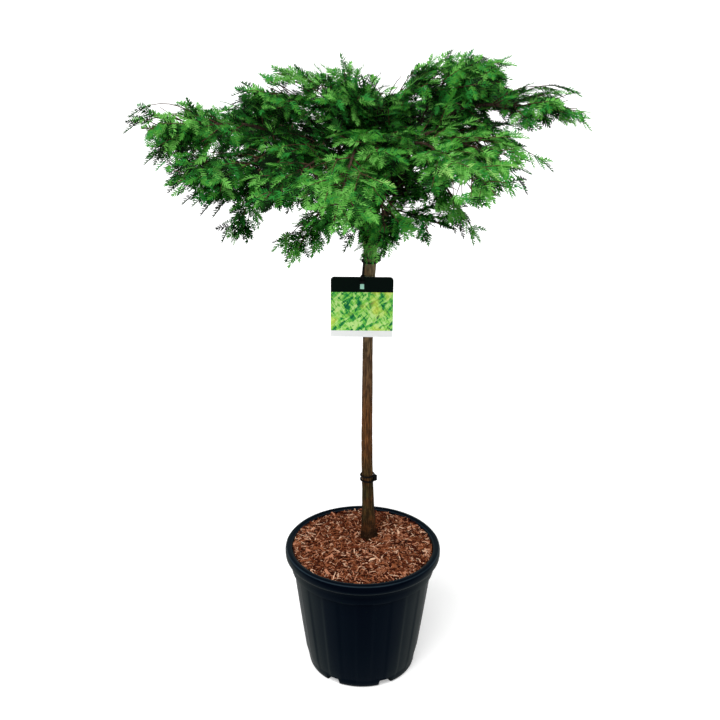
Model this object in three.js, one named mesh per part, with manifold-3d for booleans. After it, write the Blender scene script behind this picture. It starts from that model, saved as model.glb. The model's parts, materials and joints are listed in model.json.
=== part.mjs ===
// A dawn redwood grown as a standard: a clean trunk with a low, wide umbrella crown grafted on top,
// standing in a black nursery pot filled with compost under a layer of wood chips.
// Millimetres, +Z up. The origin is on the floor, in the middle of the pot's flat underside.
import * as THREE from 'three';
import { mergeVertices } from 'three/addons/utils/BufferGeometryUtils.js';
import Module from 'manifold-3d';

const wasm = await Module();
wasm.setup();

// ---- Driving dimensions -------------------------------------------------------------------------

const CLEARANCE = 0.3; // gap left between pieces that touch
const UP = new THREE.Vector3(0, 0, 1);

const POT = {
  height: 279, // floor to the top of the rolled lip
  lipRadius: 158,
  mouthRadius: 144,
  collarRadius: 148,
  bodyTopRadius: 140.5,
  bodyFootRadius: 111,
  underRadius: 100, // flat underside
  lipBottom: 256,
  collarBottom: 228,
  footTop: 14,
  wall: 3.2,
  floorTop: 16,
  segments: 36,
  panelEvery: 3, // one moulded groove for this many segments
  grooveDepth: 1.4,
};
const FOOT = { count: 6, notchWidth: 30, notchDepth: 26, notchHeight: 10, turn: -3 };
const FILL = { compostTop: 252, chipsTop: 274, swell: 2.2, segments: 30 };

const TRUNK = {
  foot: new THREE.Vector3(12.3, 38, 264.3),
  sides: 14,
  flareLobes: 5,
  flareDepth: 0.1, // share of the radius
  flareHeight: 60,
  // height, radius and sideways place of the middle, from the cut at the foot to the grafted head
  stations: [
    [264.3, 17.8, 12.3], [302, 15, 11.6], [340, 12.7, 10.3], [384, 11.6, 8.9], [438, 11.3, 7.3],
    [506, 11.1, 6], [594, 10.7, 5.8], [680, 10, 5.7], [724, 9.8, 5.8], [800, 10.9, 6.2], [856, 12, 6.8],
    [902, 13.4, 8.6], [928, 17.2, 9.4], [952, 17.6, 9.5], [972, 12, 9.5], [982, 5, 9.5],
  ],
};
const HOLLOW = { floor: 264, floorRadius: 22, topRadius: 33, topHeight: 280, segments: 14 };
const AXIS = new THREE.Vector2(9.5, 38); // the crown's middle, over the grafted head

const TIE = { cord: 1.7, sides: 5, segments: 14, pitch: 10.6, heights: { lower_tie: 413.6, upper_tie: 882.7 } };
const KNOT = { radius: 5, stretch: 1.45, turn: { lower_tie: -12, upper_tie: 8 }, out: 2.2 };
const CARD = { x: -6.4, top: 850, width: 119, height: 123, thick: 0.8, corner: 7, back: 25.3 };
const HOLE = { radius: 3.4, drop: 9, sides: 12 };
const STRAP = { width: 4, thick: 1.4, top: 895, bottom: 835, back: 23.55, lean: 4.6 };

// Each limb is a bough and the mass of foliage at its tip. az: bearing of the tip in degrees, from
// +X towards +Y. reach, height: where the bough ends. pitch: how the mass tilts there. mass: its
// length, width and thickness. from: what the bough leaves, and at: a height on the trunk or a share
// of the parent's length. rise and girth: the angle at which a bough leaves the trunk, and its radius
// there.
const LIMBS = [
  { name: 'left_tip', az: 189, reach: 248, height: 1147, pitch: 2, mass: [194, 195, 100],
    from: 'trunk', at: 942, rise: 44, girth: 5.2 },
  { name: 'right_tip', az: 348, reach: 200, height: 1186, pitch: 3, mass: [198, 152, 86],
    from: 'trunk', at: 940, rise: 50, girth: 5.4 },
  { name: 'top_right', az: 358, reach: 44, height: 1190, pitch: 15, mass: [222, 184, 130],
    from: 'trunk', at: 956, rise: 58, girth: 4.6 },
  { name: 'top_left', az: 180, reach: 72, height: 1174, pitch: 6, mass: [178, 166, 115],
    from: 'trunk', at: 954, rise: 58, girth: 4.4 },
  { name: 'top_middle', az: 211, reach: 29, height: 1109, pitch: 58, mass: [163, 201, 188],
    from: 'trunk', at: 974, rise: 84, girth: 4.2 },
  { name: 'front', az: 259, reach: 162, height: 1132, pitch: -20, mass: [208, 206, 118],
    from: 'trunk', at: 936, rise: 50, girth: 4.8 },
  { name: 'back', az: 95, reach: 167, height: 1095, pitch: 9, mass: [210, 188, 122],
    from: 'trunk', at: 938, rise: 42, girth: 5 },
  { name: 'left_low', az: 208, reach: 199, height: 1100, pitch: -3, mass: [209, 194, 122],
    from: 'trunk', at: 926, rise: 38, girth: 4.8 },
  { name: 'right_low', az: 317, reach: 165, height: 1150, pitch: -8, mass: [184, 192, 90],
    from: 'trunk', at: 926, rise: 44, girth: 4.6 },
  { name: 'front_right', az: 301, reach: 189, height: 1142, pitch: -6, mass: [228, 186, 88],
    from: 'trunk', at: 952, rise: 54, girth: 4.4 },
  { name: 'back_left', az: 133, reach: 209, height: 1083, pitch: 7, mass: [216, 204, 105],
    from: 'trunk', at: 952, rise: 46, girth: 4.6 },
  { name: 'back_right', az: 57, reach: 167, height: 1109, pitch: 1, mass: [212, 209, 102],
    from: 'trunk', at: 952, rise: 50, girth: 4.6 },
  { name: 'under_right', az: 330, reach: 58, height: 986, pitch: -5, mass: [116, 116, 82],
    from: 'trunk', at: 910, rise: 34, girth: 3 },
  { name: 'left_back', az: 158, reach: 223, height: 1102, pitch: -3, mass: [207, 196, 86],
    from: 'left_tip', at: 0.42 },
  { name: 'right_back', az: 26, reach: 143, height: 1173, pitch: 2, mass: [181, 162, 117],
    from: 'right_tip', at: 0.4 },
  { name: 'mid_right', az: 333, reach: 97, height: 1137, pitch: 2, mass: [204, 177, 93],
    from: 'top_right', at: 0.42 },
  { name: 'mid_left', az: 205, reach: 88, height: 1112, pitch: 0, mass: [176, 195, 96],
    from: 'left_low', at: 0.4 },
  { name: 'mid_front', az: 272, reach: 65, height: 1120, pitch: 13, mass: [168, 197, 112],
    from: 'top_middle', at: 0.4 },
  { name: 'front_left', az: 235, reach: 173, height: 1109, pitch: -10, mass: [172, 170, 82],
    from: 'front', at: 0.36 },
  { name: 'top_back', az: 72, reach: 34, height: 1095, pitch: 22, mass: [159, 186, 107],
    from: 'top_middle', at: 0.3 },
  { name: 'hang_left', az: 199, reach: 220, height: 1048, pitch: -66, mass: [118, 90, 68],
    from: 'left_low', at: 0.74 },
  { name: 'hang_front_left', az: 236, reach: 124, height: 1046, pitch: -35, mass: [160, 100, 68],
    from: 'front_left', at: 0.34 },
  { name: 'hang_front', az: 278, reach: 101, height: 1054, pitch: -45, mass: [112, 166, 87],
    from: 'front', at: 0.3 },
  { name: 'hang_right', az: 327, reach: 129, height: 1086, pitch: -53, mass: [126, 92, 68],
    from: 'right_low', at: 0.62 },
  { name: 'hang_back', az: 72, reach: 133, height: 1034, pitch: -43, mass: [142, 132, 80],
    from: 'back', at: 0.4 },
];
const BOUGH = {
  tipShare: 0.5, thinnest: 1.7, sideGirth: 0.74, lean: 0.55, sides: 6, steps: 5, pull: 0.42, level: 0.34,
};
const STEM = { radius: 2.2, tip: 1.5, sides: 3, steps: 3, share: 0.72, sag: 0.05, sunk: 7 };
const TWIG = { share: 0.42, shortest: 16, longest: 58, joint: 0.6 }; // a shoot's bare stalk
const BLADE = {
  longest: 104, shortest: 30, slender: 0.58, thick: 0.034, teeth: 2, sideShare: 0.8,
  root: [1.7, 1.3], // half width and half thickness of its stalk
  tries: [0.97, 0.8, 0.64, 0.5], // shares of the room that are tried in turn
};
const SPACING = 35; // stem length for each pair of shoots
const SPREAD = { yaw: 50, yawPlay: 14, lift: 18, liftPlay: 14, tip: 34, roll: 84, aside: -54 }; // degrees
const MARGIN = 0.6; // between a mass and the edge of its own space
const LIMB_GAP = 4; // between foliage and any limb

// ---- Small tools --------------------------------------------------------------------------------

const radians = THREE.MathUtils.degToRad;

/** A seeded stream of numbers from 0 to 1. */
function randomStream(seed) {
  let state = seed >>> 0;
  return () => {
    state = (state + 0x6d2b79f5) >>> 0;
    let mixed = Math.imul(state ^ (state >>> 15), state | 1);
    mixed ^= mixed + Math.imul(mixed ^ (mixed >>> 7), mixed | 61);
    return ((mixed ^ (mixed >>> 14)) >>> 0) / 4294967296;
  };
}

/** Unit vector at a bearing and a pitch, both in degrees. */
function heading(bearing, pitch) {
  const level = Math.cos(radians(pitch));
  return new THREE.Vector3(
    level * Math.cos(radians(bearing)), level * Math.sin(radians(bearing)), Math.sin(radians(pitch)),
  );
}

/** A closed geometry as a solid that can be joined and cut. */
function toSolid(geometry) {
  const bare = geometry.clone();
  bare.deleteAttribute('normal');
  bare.deleteAttribute('uv');
  const merged = mergeVertices(bare, 1e-4);
  return new wasm.Manifold(new wasm.Mesh({
    numProp: 3,
    vertProperties: new Float32Array(merged.attributes.position.array),
    triVerts: new Uint32Array(merged.index.array),
  }));
}

/** A solid back as a geometry. */
function toGeometry(solid) {
  const { vertProperties, triVerts } = solid.getMesh();
  const geometry = new THREE.BufferGeometry();
  geometry.setAttribute('position', new THREE.BufferAttribute(vertProperties, 3));
  geometry.setIndex(new THREE.BufferAttribute(triVerts, 1));
  geometry.computeVertexNormals();
  return geometry;
}

/** Joins solids into one. */
function join(solids) {
  return solids.reduce((whole, piece) => whole.add(piece));
}

/** Joins closed geometries into one. */
function fuse(geometries) {
  return toGeometry(join(geometries.map(toSolid)));
}

/** Cuts closed geometries out of another. */
function carve(geometry, cutters) {
  const rest = cutters.map(toSolid).reduce((whole, cutter) => whole.subtract(cutter), toSolid(geometry));
  return toGeometry(rest);
}

/** A solid of revolution about Z from [radius, height] pairs that start and end on the axis. */
function turned(profile, segments) {
  const points = profile.map(([radius, height]) => new THREE.Vector2(radius, height));
  return new THREE.LatheGeometry(points, segments).rotateX(Math.PI / 2);
}

/** Moves every vertex of a geometry by a function that changes the vector it is given. */
function reshape(geometry, change) {
  const place = geometry.attributes.position;
  const point = new THREE.Vector3();
  for (let i = 0; i < place.count; i += 1) {
    change(point.fromBufferAttribute(place, i));
    place.setXYZ(i, point.x, point.y, point.z);
  }
  return geometry;
}

/** A closed tapering tube along a curve. grow widens it evenly, for cutting with a clearance. */
function taperedTube({ curve, baseRadius, tipRadius, sides, steps }, grow = 0) {
  const tube = new THREE.CylinderGeometry(tipRadius + grow, baseRadius + grow, 1, sides, steps);
  const frames = curve.computeFrenetFrames(steps, false);
  return reshape(tube, (point) => {
    const ring = Math.round((point.y + 0.5) * steps);
    const { x, z } = point;
    curve.getPointAt(ring / steps, point);
    point.addScaledVector(frames.normals[ring], x).addScaledVector(frames.binormals[ring], -z);
  });
}

function finish(color, roughness, metalness = 0) {
  return new THREE.MeshStandardMaterial({ color, roughness, metalness });
}

const MATERIAL = {
  pot: finish(0x1c1f22, 0.45),
  compost: finish(0x2a1d14, 0.95),
  chips: finish(0x9a5a40, 0.9),
  bark: finish(0x6a5038, 0.9),
  bough: finish(0x4c3a2a, 0.88),
  foliage: finish(0x2f7a34, 0.6),
  tie: finish(0x111111, 0.55),
  card: finish(0x5c9a50, 0.35),
};

function named(name, geometry, material) {
  const mesh = new THREE.Mesh(geometry, material);
  mesh.name = name;
  return mesh;
}

// ---- Pot, compost and chips ---------------------------------------------------------------------

/** Radius of the pot's body at a height, outside. */
function bodyRadius(height) {
  const share = (height - POT.footTop) / (POT.collarBottom - POT.footTop);
  return POT.bodyFootRadius + share * (POT.bodyTopRadius - POT.bodyFootRadius);
}

/** Radius of the pot's inner wall at a height. */
function boreRadius(height) {
  const share = (height - POT.floorTop) / (POT.lipBottom - POT.floorTop);
  const foot = bodyRadius(POT.floorTop) - POT.wall;
  return foot + Math.min(share, 1) * (POT.mouthRadius - foot);
}

function makePot() {
  const { lipRadius: lip, collarRadius: collar, mouthRadius: mouth, height, lipBottom, collarBottom } = POT;
  const shell = turned([
    [0, 0], [POT.underRadius, 0], [bodyRadius(0) - 4, 3], [POT.bodyFootRadius, POT.footTop],
    [bodyRadius(60), 60], [bodyRadius(150), 150], [POT.bodyTopRadius, collarBottom - 4],
    [collar - 2.5, collarBottom], [collar, lipBottom], [lip - 2, lipBottom + 2], [lip, lipBottom + 8],
    [lip, height - 8], [lip - 3, height - 2], [lip - 7, height], [mouth + 2, height - 1],
    [mouth, height - 4], [mouth, lipBottom], [boreRadius(POT.floorTop), POT.floorTop], [0, POT.floorTop],
  ], POT.segments);
  const pitch = (2 * Math.PI) / POT.segments;
  reshape(shell, (point) => {
    const radius = Math.hypot(point.x, point.y);
    const onBody = point.z >= POT.footTop && point.z < collarBottom && radius > bodyRadius(point.z) - 1;
    const column = Math.round(Math.atan2(point.y, point.x) / pitch + POT.segments);
    if (!onBody || column % POT.panelEvery !== 0) return;
    const share = 1 - POT.grooveDepth / radius;
    point.x *= share;
    point.y *= share;
  });
  const notches = Array.from({ length: FOOT.count }, (_, i) => new THREE.BoxGeometry(
    FOOT.notchDepth * 2, FOOT.notchWidth, FOOT.notchHeight * 2,
  ).translate(POT.bodyFootRadius, 0, 0).rotateZ(radians(FOOT.turn + (i * 360) / FOOT.count)));
  return named('pot', carve(shell, notches), MATERIAL.pot);
}

function makeCompost() {
  const floor = POT.floorTop + CLEARANCE;
  const top = FILL.compostTop - CLEARANCE;
  const play = CLEARANCE / Math.cos(Math.PI / POT.segments) + 0.2;
  const plug = turned([
    [0, floor], [boreRadius(floor) - play, floor], [boreRadius(top) - play, top], [0, top],
  ], POT.segments);
  return named('compost', plug, MATERIAL.compost);
}

/** The top layer of wood chips, uneven on top, with a small hollow that the trunk's foot stands in. */
function makeChips() {
  const bottom = FILL.compostTop;
  const inner = boreRadius(bottom) - 1;
  const outer = POT.mouthRadius - 1.2;
  const top = FILL.chipsTop;
  const layer = turned([
    [0, bottom], [inner, bottom], [outer, top - 4], [0.9 * outer, top], [0.6 * outer, top],
    [0.3 * outer, top], [0, top],
  ], FILL.segments);
  const random = randomStream(11);
  const wave = Array.from({ length: 4 }, () => [2 + 3 * random(), 2 * Math.PI * random()]);
  reshape(layer, (point) => {
    if (point.z < top - 1.5) return;
    const reach = point.clone().divideScalar(outer);
    const swell = wave.reduce((sum, [count, phase], i) => sum
      + Math.sin(count * (i % 2 ? reach.x : reach.y) * 1.6 + phase), 0);
    point.z += (FILL.swell * swell) / wave.length;
  });
  const hollow = turned([
    [0, HOLLOW.floor], [HOLLOW.floorRadius, HOLLOW.floor], [HOLLOW.topRadius, HOLLOW.topHeight],
    [0, HOLLOW.topHeight],
  ], HOLLOW.segments).translate(TRUNK.foot.x, TRUNK.foot.y, 0);
  return named('wood_chips', carve(layer, [hollow]), MATERIAL.chips);
}

// ---- Trunk --------------------------------------------------------------------------------------

/** Radius and sideways place of the trunk's middle at a height, smooth between the stations. */
function trunkAt(height) {
  const { stations } = TRUNK;
  const last = stations.length - 1;
  const next = Math.min(Math.max(stations.findIndex(([z]) => z >= height), 1), last);
  const [z0, r0, x0] = stations[next - 1];
  const [z1, r1, x1] = stations[next];
  const share = THREE.MathUtils.clamp((height - z0) / (z1 - z0), 0, 1);
  return { radius: THREE.MathUtils.lerp(r0, r1, share), x: THREE.MathUtils.lerp(x0, x1, share) };
}

/** The trunk from its flat foot to the grafted head. grow widens it, for cutting with a clearance. */
function trunkGeometry(grow = 0) {
  const { foot, sides, stations } = TRUNK;
  const rings = stations.length - 1;
  const column = new THREE.CylinderGeometry(1, 1, 1, sides, rings);
  return reshape(column, (point) => {
    const share = point.y + 0.5;
    const [height, radius, x] = stations[Math.round(share * rings)];
    const angle = Math.atan2(-point.z, point.x);
    const onAxis = Math.hypot(point.x, point.z) < 0.5;
    const flare = Math.max(0, 1 - (height - foot.z) / TRUNK.flareHeight) * TRUNK.flareDepth;
    const out = onAxis ? 0 : radius * (1 + flare * Math.cos(TRUNK.flareLobes * angle + 1)) + grow;
    const level = height + Math.sign(share - 0.5) * grow;
    point.set(x + out * Math.cos(angle), foot.y + out * Math.sin(angle), level);
  });
}

// ---- Boughs -------------------------------------------------------------------------------------

/** A bough's root on what it leaves, sunk in so that it can be cut to fit. */
function boughRoot(limb, parent) {
  if (parent) return parent.curve.getPointAt(limb.at);
  return new THREE.Vector3(AXIS.x, AXIS.y, limb.at);
}

/** The radius of a bough at a share of its length. */
function radiusAlong({ girth, tipRadius }, share) {
  return THREE.MathUtils.lerp(girth, tipRadius, share);
}

/** The direction in which a side bough sets off: towards its tip, leaning out from its parent. */
function awayFrom(tangent, chord) {
  const direction = chord.clone().normalize();
  return direction.addScaledVector(tangent, -BOUGH.lean * direction.dot(tangent)).normalize();
}

/** Works out each bough's curve: it sets off at its rise, arches over and ends level with its mass. */
function planLimbs() {
  const planned = new Map();
  for (const limb of LIMBS) {
    const parent = planned.get(limb.from);
    const root = boughRoot(limb, parent);
    const outward = heading(limb.az, 0);
    const tip = new THREE.Vector3(AXIS.x, AXIS.y, limb.height).addScaledVector(outward, limb.reach);
    const end = heading(limb.az, limb.pitch);
    const chord = tip.distanceTo(root);
    const launch = parent ? awayFrom(parent.curve.getTangentAt(limb.at), tip.clone().sub(root))
      : heading(limb.az, limb.rise);
    const girth = limb.girth ?? BOUGH.sideGirth * radiusAlong(parent, limb.at);
    const curve = new THREE.CubicBezierCurve3(
      root,
      root.clone().addScaledVector(launch, BOUGH.pull * chord),
      tip.clone().addScaledVector(end, -BOUGH.level * chord),
      tip,
    );
    const tipRadius = Math.max(girth * BOUGH.tipShare, BOUGH.thinnest);
    planned.set(limb.name, { ...limb, parent, curve, tip, end, girth, tipRadius, space: null });
  }
  return [...planned.values()];
}

/** The measures of a bough's tube. */
function boughTube({ curve, girth, tipRadius }) {
  return { curve, baseRadius: girth, tipRadius, sides: BOUGH.sides, steps: BOUGH.steps };
}

/** A bough, its root cut to fit what it leaves. */
function makeBough(limb) {
  const gap = 1.2 * CLEARANCE;
  const seat = limb.parent ? taperedTube(boughTube(limb.parent), gap) : trunkGeometry(gap);
  return named(`bough_${limb.name}`, carve(taperedTube(boughTube(limb)), [seat]), MATERIAL.bough);
}

// ---- Each mass's own space ----------------------------------------------------------------------

/** An ellipsoid that starts at the bough's tip and runs on along it. */
function ownSpace({ tip, end, mass, az }) {
  const [length, width, thick] = mass;
  const side = heading(az + 90, 0);
  return {
    centre: tip.clone().addScaledVector(end, length / 2),
    axes: [end, side, end.clone().cross(side)],
    half: [length / 2, width / 2, thick / 2],
    walls: [],
  };
}

/** How far an ellipsoid's surface is from its centre in a direction. */
function radiusTowards({ axes, half }, direction) {
  return 1 / Math.hypot(...axes.map((axis, i) => axis.dot(direction) / half[i]));
}

/** Neighbouring spaces share a flat wall, set between their centres by their sizes. */
function buildWalls(spaces) {
  for (const space of spaces) {
    for (const other of spaces) {
      if (other === space) continue;
      const away = other.centre.clone().sub(space.centre);
      const distance = away.length();
      away.normalize();
      const [mine, theirs] = [radiusTowards(space, away), radiusTowards(other, away)];
      if (mine + theirs < 0.7 * distance) continue;
      space.walls.push(new THREE.Plane(away, 0).translate(
        space.centre.clone().addScaledVector(away, (distance * mine) / (mine + theirs)),
      ));
    }
  }
}

/** Whether a point lies in a mass's own space. */
function isInside({ centre, axes, half, walls }, point) {
  const off = point.clone().sub(centre);
  const swollen = Math.hypot(...axes.map((axis, i) => axis.dot(off) / half[i]));
  return swollen <= 1 && walls.every((wall) => wall.distanceToPoint(point) < -MARGIN);
}

/** Distance from a point inside an ellipsoid to its surface, in a direction. */
function roomTowards({ centre, axes, half }, point, direction) {
  const off = point.clone().sub(centre);
  const from = axes.map((axis, i) => axis.dot(off) / half[i]);
  const along = axes.map((axis, i) => axis.dot(direction) / half[i]);
  const dot = (a, b) => a.reduce((sum, value, i) => sum + value * b[i], 0);
  const [a, b, c] = [dot(along, along), dot(from, along), dot(from, from) - 1];
  return Math.max(0, (-b + Math.sqrt(Math.max(b * b - a * c, 0))) / a);
}

// ---- Foliage ------------------------------------------------------------------------------------

/** Points along every limb with the radius there, for keeping foliage clear of them. */
function limbGuards(limbs) {
  const guards = [];
  for (const limb of limbs) {
    const count = Math.ceil(limb.curve.getLength() / 5);
    for (let i = 0; i <= count; i += 1) {
      guards.push({ point: limb.curve.getPointAt(i / count), radius: radiusAlong(limb, i / count) });
    }
  }
  for (let height = 850; height <= 990; height += 6) {
    const { radius, x } = trunkAt(height);
    guards.push({ point: new THREE.Vector3(x, TRUNK.foot.y, height), radius });
  }
  return guards;
}

/**
 * A shoot along +X: a four-sided stalk, then a toothed blade that stands for its sprays, with a ridge
 * down the middle and thin edges. The blade is tipped up from the stalk by an angle.
 */
function shootGeometry(stalk, length, tip) {
  const [wide, thick] = BLADE.root;
  const [forward, upward] = [Math.cos(tip), Math.sin(tip)];
  const points = [];
  const put = (x, y, z) => points.push([stalk + x * forward - z * upward, y, x * upward + z * forward]) - 1;
  const apex = put(length, 0, 0);
  const [above, below] = [1, -1].map((face) => ({
    up: face,
    root: put(0, 0, face * thick),
    ridge: put(0.45 * length, 0, (face * BLADE.thick * length) / 2),
  }));
  const faces = [];
  const addFace = (up, a, b, c) => faces.push(up > 0 ? [a, c, b] : [a, b, c]);
  const edges = [1, -1].map((side) => {
    const outline = [put(0, side * wide, 0)];
    for (let i = 0; i < BLADE.teeth; i += 1) {
      const along = (i + 1) / (BLADE.teeth + 0.75);
      const out = side * (BLADE.slender / 2) * length * Math.sin(Math.PI * along ** 0.8);
      if (i > 0) outline.push(put((along - 0.17) * length, 0.42 * out, 0));
      outline.push(put(along * length, out, 0));
    }
    outline.push(apex);
    for (const { root, ridge, up } of [above, below]) {
      addFace(up * side, root, outline[0], outline[1]);
      addFace(up * side, root, outline[1], ridge);
      for (let i = 1; i < outline.length - 1; i += 1) addFace(up * side, ridge, outline[i], outline[i + 1]);
    }
    return outline[0];
  });
  let ring = [above.root, edges[0], below.root, edges[1]];
  if (stalk > 0) {
    const foot = [[0, thick], [wide, 0], [0, -thick], [-wide, 0]].map(([y, z]) => points.push([0, y, z]) - 1);
    foot.forEach((corner, i) => {
      const next = (i + 1) % 4;
      faces.push([corner, ring[next], foot[next]], [corner, ring[i], ring[next]]);
    });
    ring = foot;
  }
  faces.push([ring[0], ring[1], ring[2]], [ring[0], ring[2], ring[3]]);
  const geometry = new THREE.BufferGeometry();
  geometry.setAttribute('position', new THREE.Float32BufferAttribute(points.flat(), 3));
  geometry.setIndex(faces.flat());
  return geometry;
}

/** Lays a shoot along a direction from its root, as flat as that direction allows. */
function layShoot(shoot, root, direction, roll) {
  const side = UP.clone().cross(direction);
  if (side.length() < 0.2) side.set(1, 0, 0);
  side.addScaledVector(direction, -side.dot(direction)).normalize().applyAxisAngle(direction, roll);
  const basis = new THREE.Matrix4().makeBasis(direction, side, direction.clone().cross(side));
  return shoot.applyMatrix4(basis.setPosition(root));
}

/** Every vertex of a geometry, with the points half-way to a middle point, as a check's sample. */
function samplePoints(geometry, middle) {
  const place = geometry.attributes.position;
  return Array.from({ length: place.count }, (_, i) => new THREE.Vector3().fromBufferAttribute(place, i))
    .flatMap((point) => [point, point.clone().lerp(middle, 0.5)]);
}

/** Grows one mass: a stem, pairs of shoots along it, and side shoots on some of them. */
function makeMass(limb, index, guards) {
  const { space } = limb;
  const random = randomStream(1000 + index);
  const play = (range) => radians(range * (random() - 0.5));
  const near = guards.filter(({ point }) => isNear(space, point));
  const fits = (points) => points.every((point) => isInside(space, point)
    && near.every((guard) => guard.point.distanceTo(point) > guard.radius + LIMB_GAP));

  const length = STEM.share * limb.mass[0];
  const root = limb.tip.clone().addScaledVector(limb.end, CLEARANCE);
  const stem = new THREE.QuadraticBezierCurve3(
    root,
    root.clone().addScaledVector(limb.end, length / 2),
    root.clone().addScaledVector(limb.end, length).addScaledVector(UP, -STEM.sag * length),
  );
  const wood = toSolid(taperedTube({
    curve: stem, baseRadius: STEM.radius, tipRadius: STEM.tip, sides: STEM.sides, steps: STEM.steps,
  }));
  const shoots = [];
  const crosses = (solid, parent) => shoots.some(
    (shoot) => shoot !== parent && !shoot.intersect(solid).isEmpty(),
  );

  const addShoot = (from, direction, stalk, { tip = 0, share = 1, roll, parent = null }) => {
    const room = roomTowards(space, from, direction) - stalk;
    for (const part of BLADE.tries) {
      const bladeLength = part * share * Math.min(room, BLADE.longest);
      if (bladeLength < BLADE.shortest) return null;
      const shoot = layShoot(shootGeometry(stalk, bladeLength, tip), from, direction, roll);
      const middle = from.clone().addScaledVector(direction, stalk + bladeLength / 2);
      if (!fits(samplePoints(shoot, middle))) continue;
      const solid = toSolid(shoot);
      if (crosses(solid, parent)) continue;
      shoots.push(solid);
      return solid;
    }
    return null;
  };

  const pairs = Math.max(2, Math.round(length / SPACING));
  const flat = space.axes[1];
  for (let pair = 0; pair < pairs; pair += 1) {
    const along = (pair + 0.55) / (pairs + 0.35);
    const from = stem.getPointAt(along);
    const tangent = stem.getTangentAt(along);
    const above = tangent.clone().cross(flat).normalize();
    for (const side of [1, -1]) {
      const high = pair % 2 === (side + 1) / 2;
      const yaw = side * (radians(SPREAD.yaw) + play(SPREAD.yawPlay));
      const lift = radians(high ? SPREAD.lift : -SPREAD.lift) + play(SPREAD.liftPlay);
      const tip = play(SPREAD.tip);
      const roll = play(SPREAD.roll);
      const level = tangent.clone().multiplyScalar(Math.cos(yaw)).addScaledVector(flat, Math.sin(yaw));
      const direction = pitched(level, above, lift);
      const room = roomTowards(space, from, direction);
      const stalk = THREE.MathUtils.clamp(TWIG.share * room, TWIG.shortest, TWIG.longest);
      const parent = addShoot(from, direction, stalk, { tip, roll });
      if (!parent || pair === pairs - 1) continue;
      const aside = pitched(level.clone().applyAxisAngle(above, side * radians(SPREAD.aside)), above, lift);
      const joint = from.clone().addScaledVector(direction, TWIG.joint * stalk);
      addShoot(joint, aside, 0, { share: BLADE.sideShare, roll: -roll, parent });
    }
  }
  const end = stem.getTangentAt(1);
  addShoot(stem.getPointAt(1).addScaledVector(end, -STEM.sunk), end, 0, { roll: play(SPREAD.roll) });
  return named(`foliage_${limb.name}`, toGeometry(join([wood, ...shoots])), MATERIAL.foliage);
}

/** A level direction tipped up by an angle. */
function pitched(level, above, angle) {
  return level.clone().multiplyScalar(Math.cos(angle)).addScaledVector(above, Math.sin(angle)).normalize();
}

/** Whether a limb's point is close enough to a space to matter. */
function isNear({ centre, half }, point) {
  return centre.distanceTo(point) < Math.max(...half) + 30;
}

// ---- Ties, strap and card -----------------------------------------------------------------------

/** Two loops of black cord round the trunk and the knot that holds them. */
function makeTie(name) {
  const height = TIE.heights[name];
  const { radius, x } = trunkAt(height);
  const snug = (radius + CLEARANCE) / Math.cos(Math.PI / TIE.segments) + TIE.cord + 0.25;
  const loops = [-0.5, 0.5].map((share) => new THREE.TorusGeometry(snug, TIE.cord, TIE.sides, TIE.segments)
    .translate(0, 0, share * TIE.pitch));
  const knot = new THREE.SphereGeometry(KNOT.radius, 7, 5).scale(0.8, 1, KNOT.stretch)
    .translate(snug + KNOT.out, 0, 0).rotateZ(radians(KNOT.turn[name]));
  const mesh = named(name, fuse([...loops, knot]), MATERIAL.tie);
  mesh.position.set(x, TRUNK.foot.y, height);
  return mesh;
}

/** The bare information card: a flat sheet with two rounded top corners and a punched hole. */
function makeCard() {
  const { width, height, corner, thick, top, back } = CARD;
  const outline = new THREE.Shape()
    .moveTo(-width / 2, -height)
    .lineTo(width / 2, -height)
    .lineTo(width / 2, -corner)
    .absarc(width / 2 - corner, -corner, corner, 0, Math.PI / 2)
    .lineTo(-width / 2 + corner, 0)
    .absarc(-width / 2 + corner, -corner, corner, Math.PI / 2, Math.PI);
  const hole = new THREE.Path().absarc(0, -HOLE.drop, HOLE.radius, 0, 2 * Math.PI, true);
  outline.holes.push(hole);
  const sheet = new THREE.ExtrudeGeometry(outline, { depth: thick, bevelEnabled: false, curveSegments: 4 });
  const mesh = named('label_card', toGeometry(toSolid(sheet)), MATERIAL.card);
  mesh.rotation.x = Math.PI / 2;
  mesh.position.set(CARD.x, back, top);
  return mesh;
}

/** The strap that hangs from the upper tie, with the peg that goes through the card's hole. */
function makeStrap() {
  const { width, thick, top, bottom, back, lean } = STRAP;
  const face = back - thick;
  const hole = CARD.top - HOLE.drop;
  const band = new THREE.BoxGeometry(width, thick, top - bottom)
    .translate(0, back - thick / 2, (top + bottom) / 2 - hole)
    .rotateY(radians(lean))
    .translate(0, 0, hole);
  const pegLength = CARD.back - face;
  const peg = new THREE.CylinderGeometry(HOLE.radius - 0.8, HOLE.radius - 0.8, pegLength, HOLE.sides)
    .translate(0, face + pegLength / 2, hole);
  const head = new THREE.SphereGeometry(4.2, 8, 4).scale(1, 0.5, 1).translate(0, face, hole);
  const mesh = named('label_strap', fuse([band, peg, head]), MATERIAL.tie);
  mesh.position.x = CARD.x;
  return mesh;
}

// ---- Assembly -----------------------------------------------------------------------------------

const limbs = planLimbs();
limbs.forEach((limb) => {
  limb.space = ownSpace(limb);
});
buildWalls(limbs.map(({ space }) => space));
const guards = limbGuards(limbs);

const pottedGroup = new THREE.Group();
pottedGroup.add(makePot(), makeCompost(), makeChips());

const crown = new THREE.Group();
limbs.forEach((limb, index) => crown.add(makeBough(limb), makeMass(limb, index, guards)));

const trimmings = new THREE.Group();
trimmings.add(...Object.keys(TIE.heights).map(makeTie), makeCard(), makeStrap());

const plant = new THREE.Group();
plant.add(pottedGroup, named('trunk', trunkGeometry(), MATERIAL.bark), crown, trimmings);

export default plant;
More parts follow.
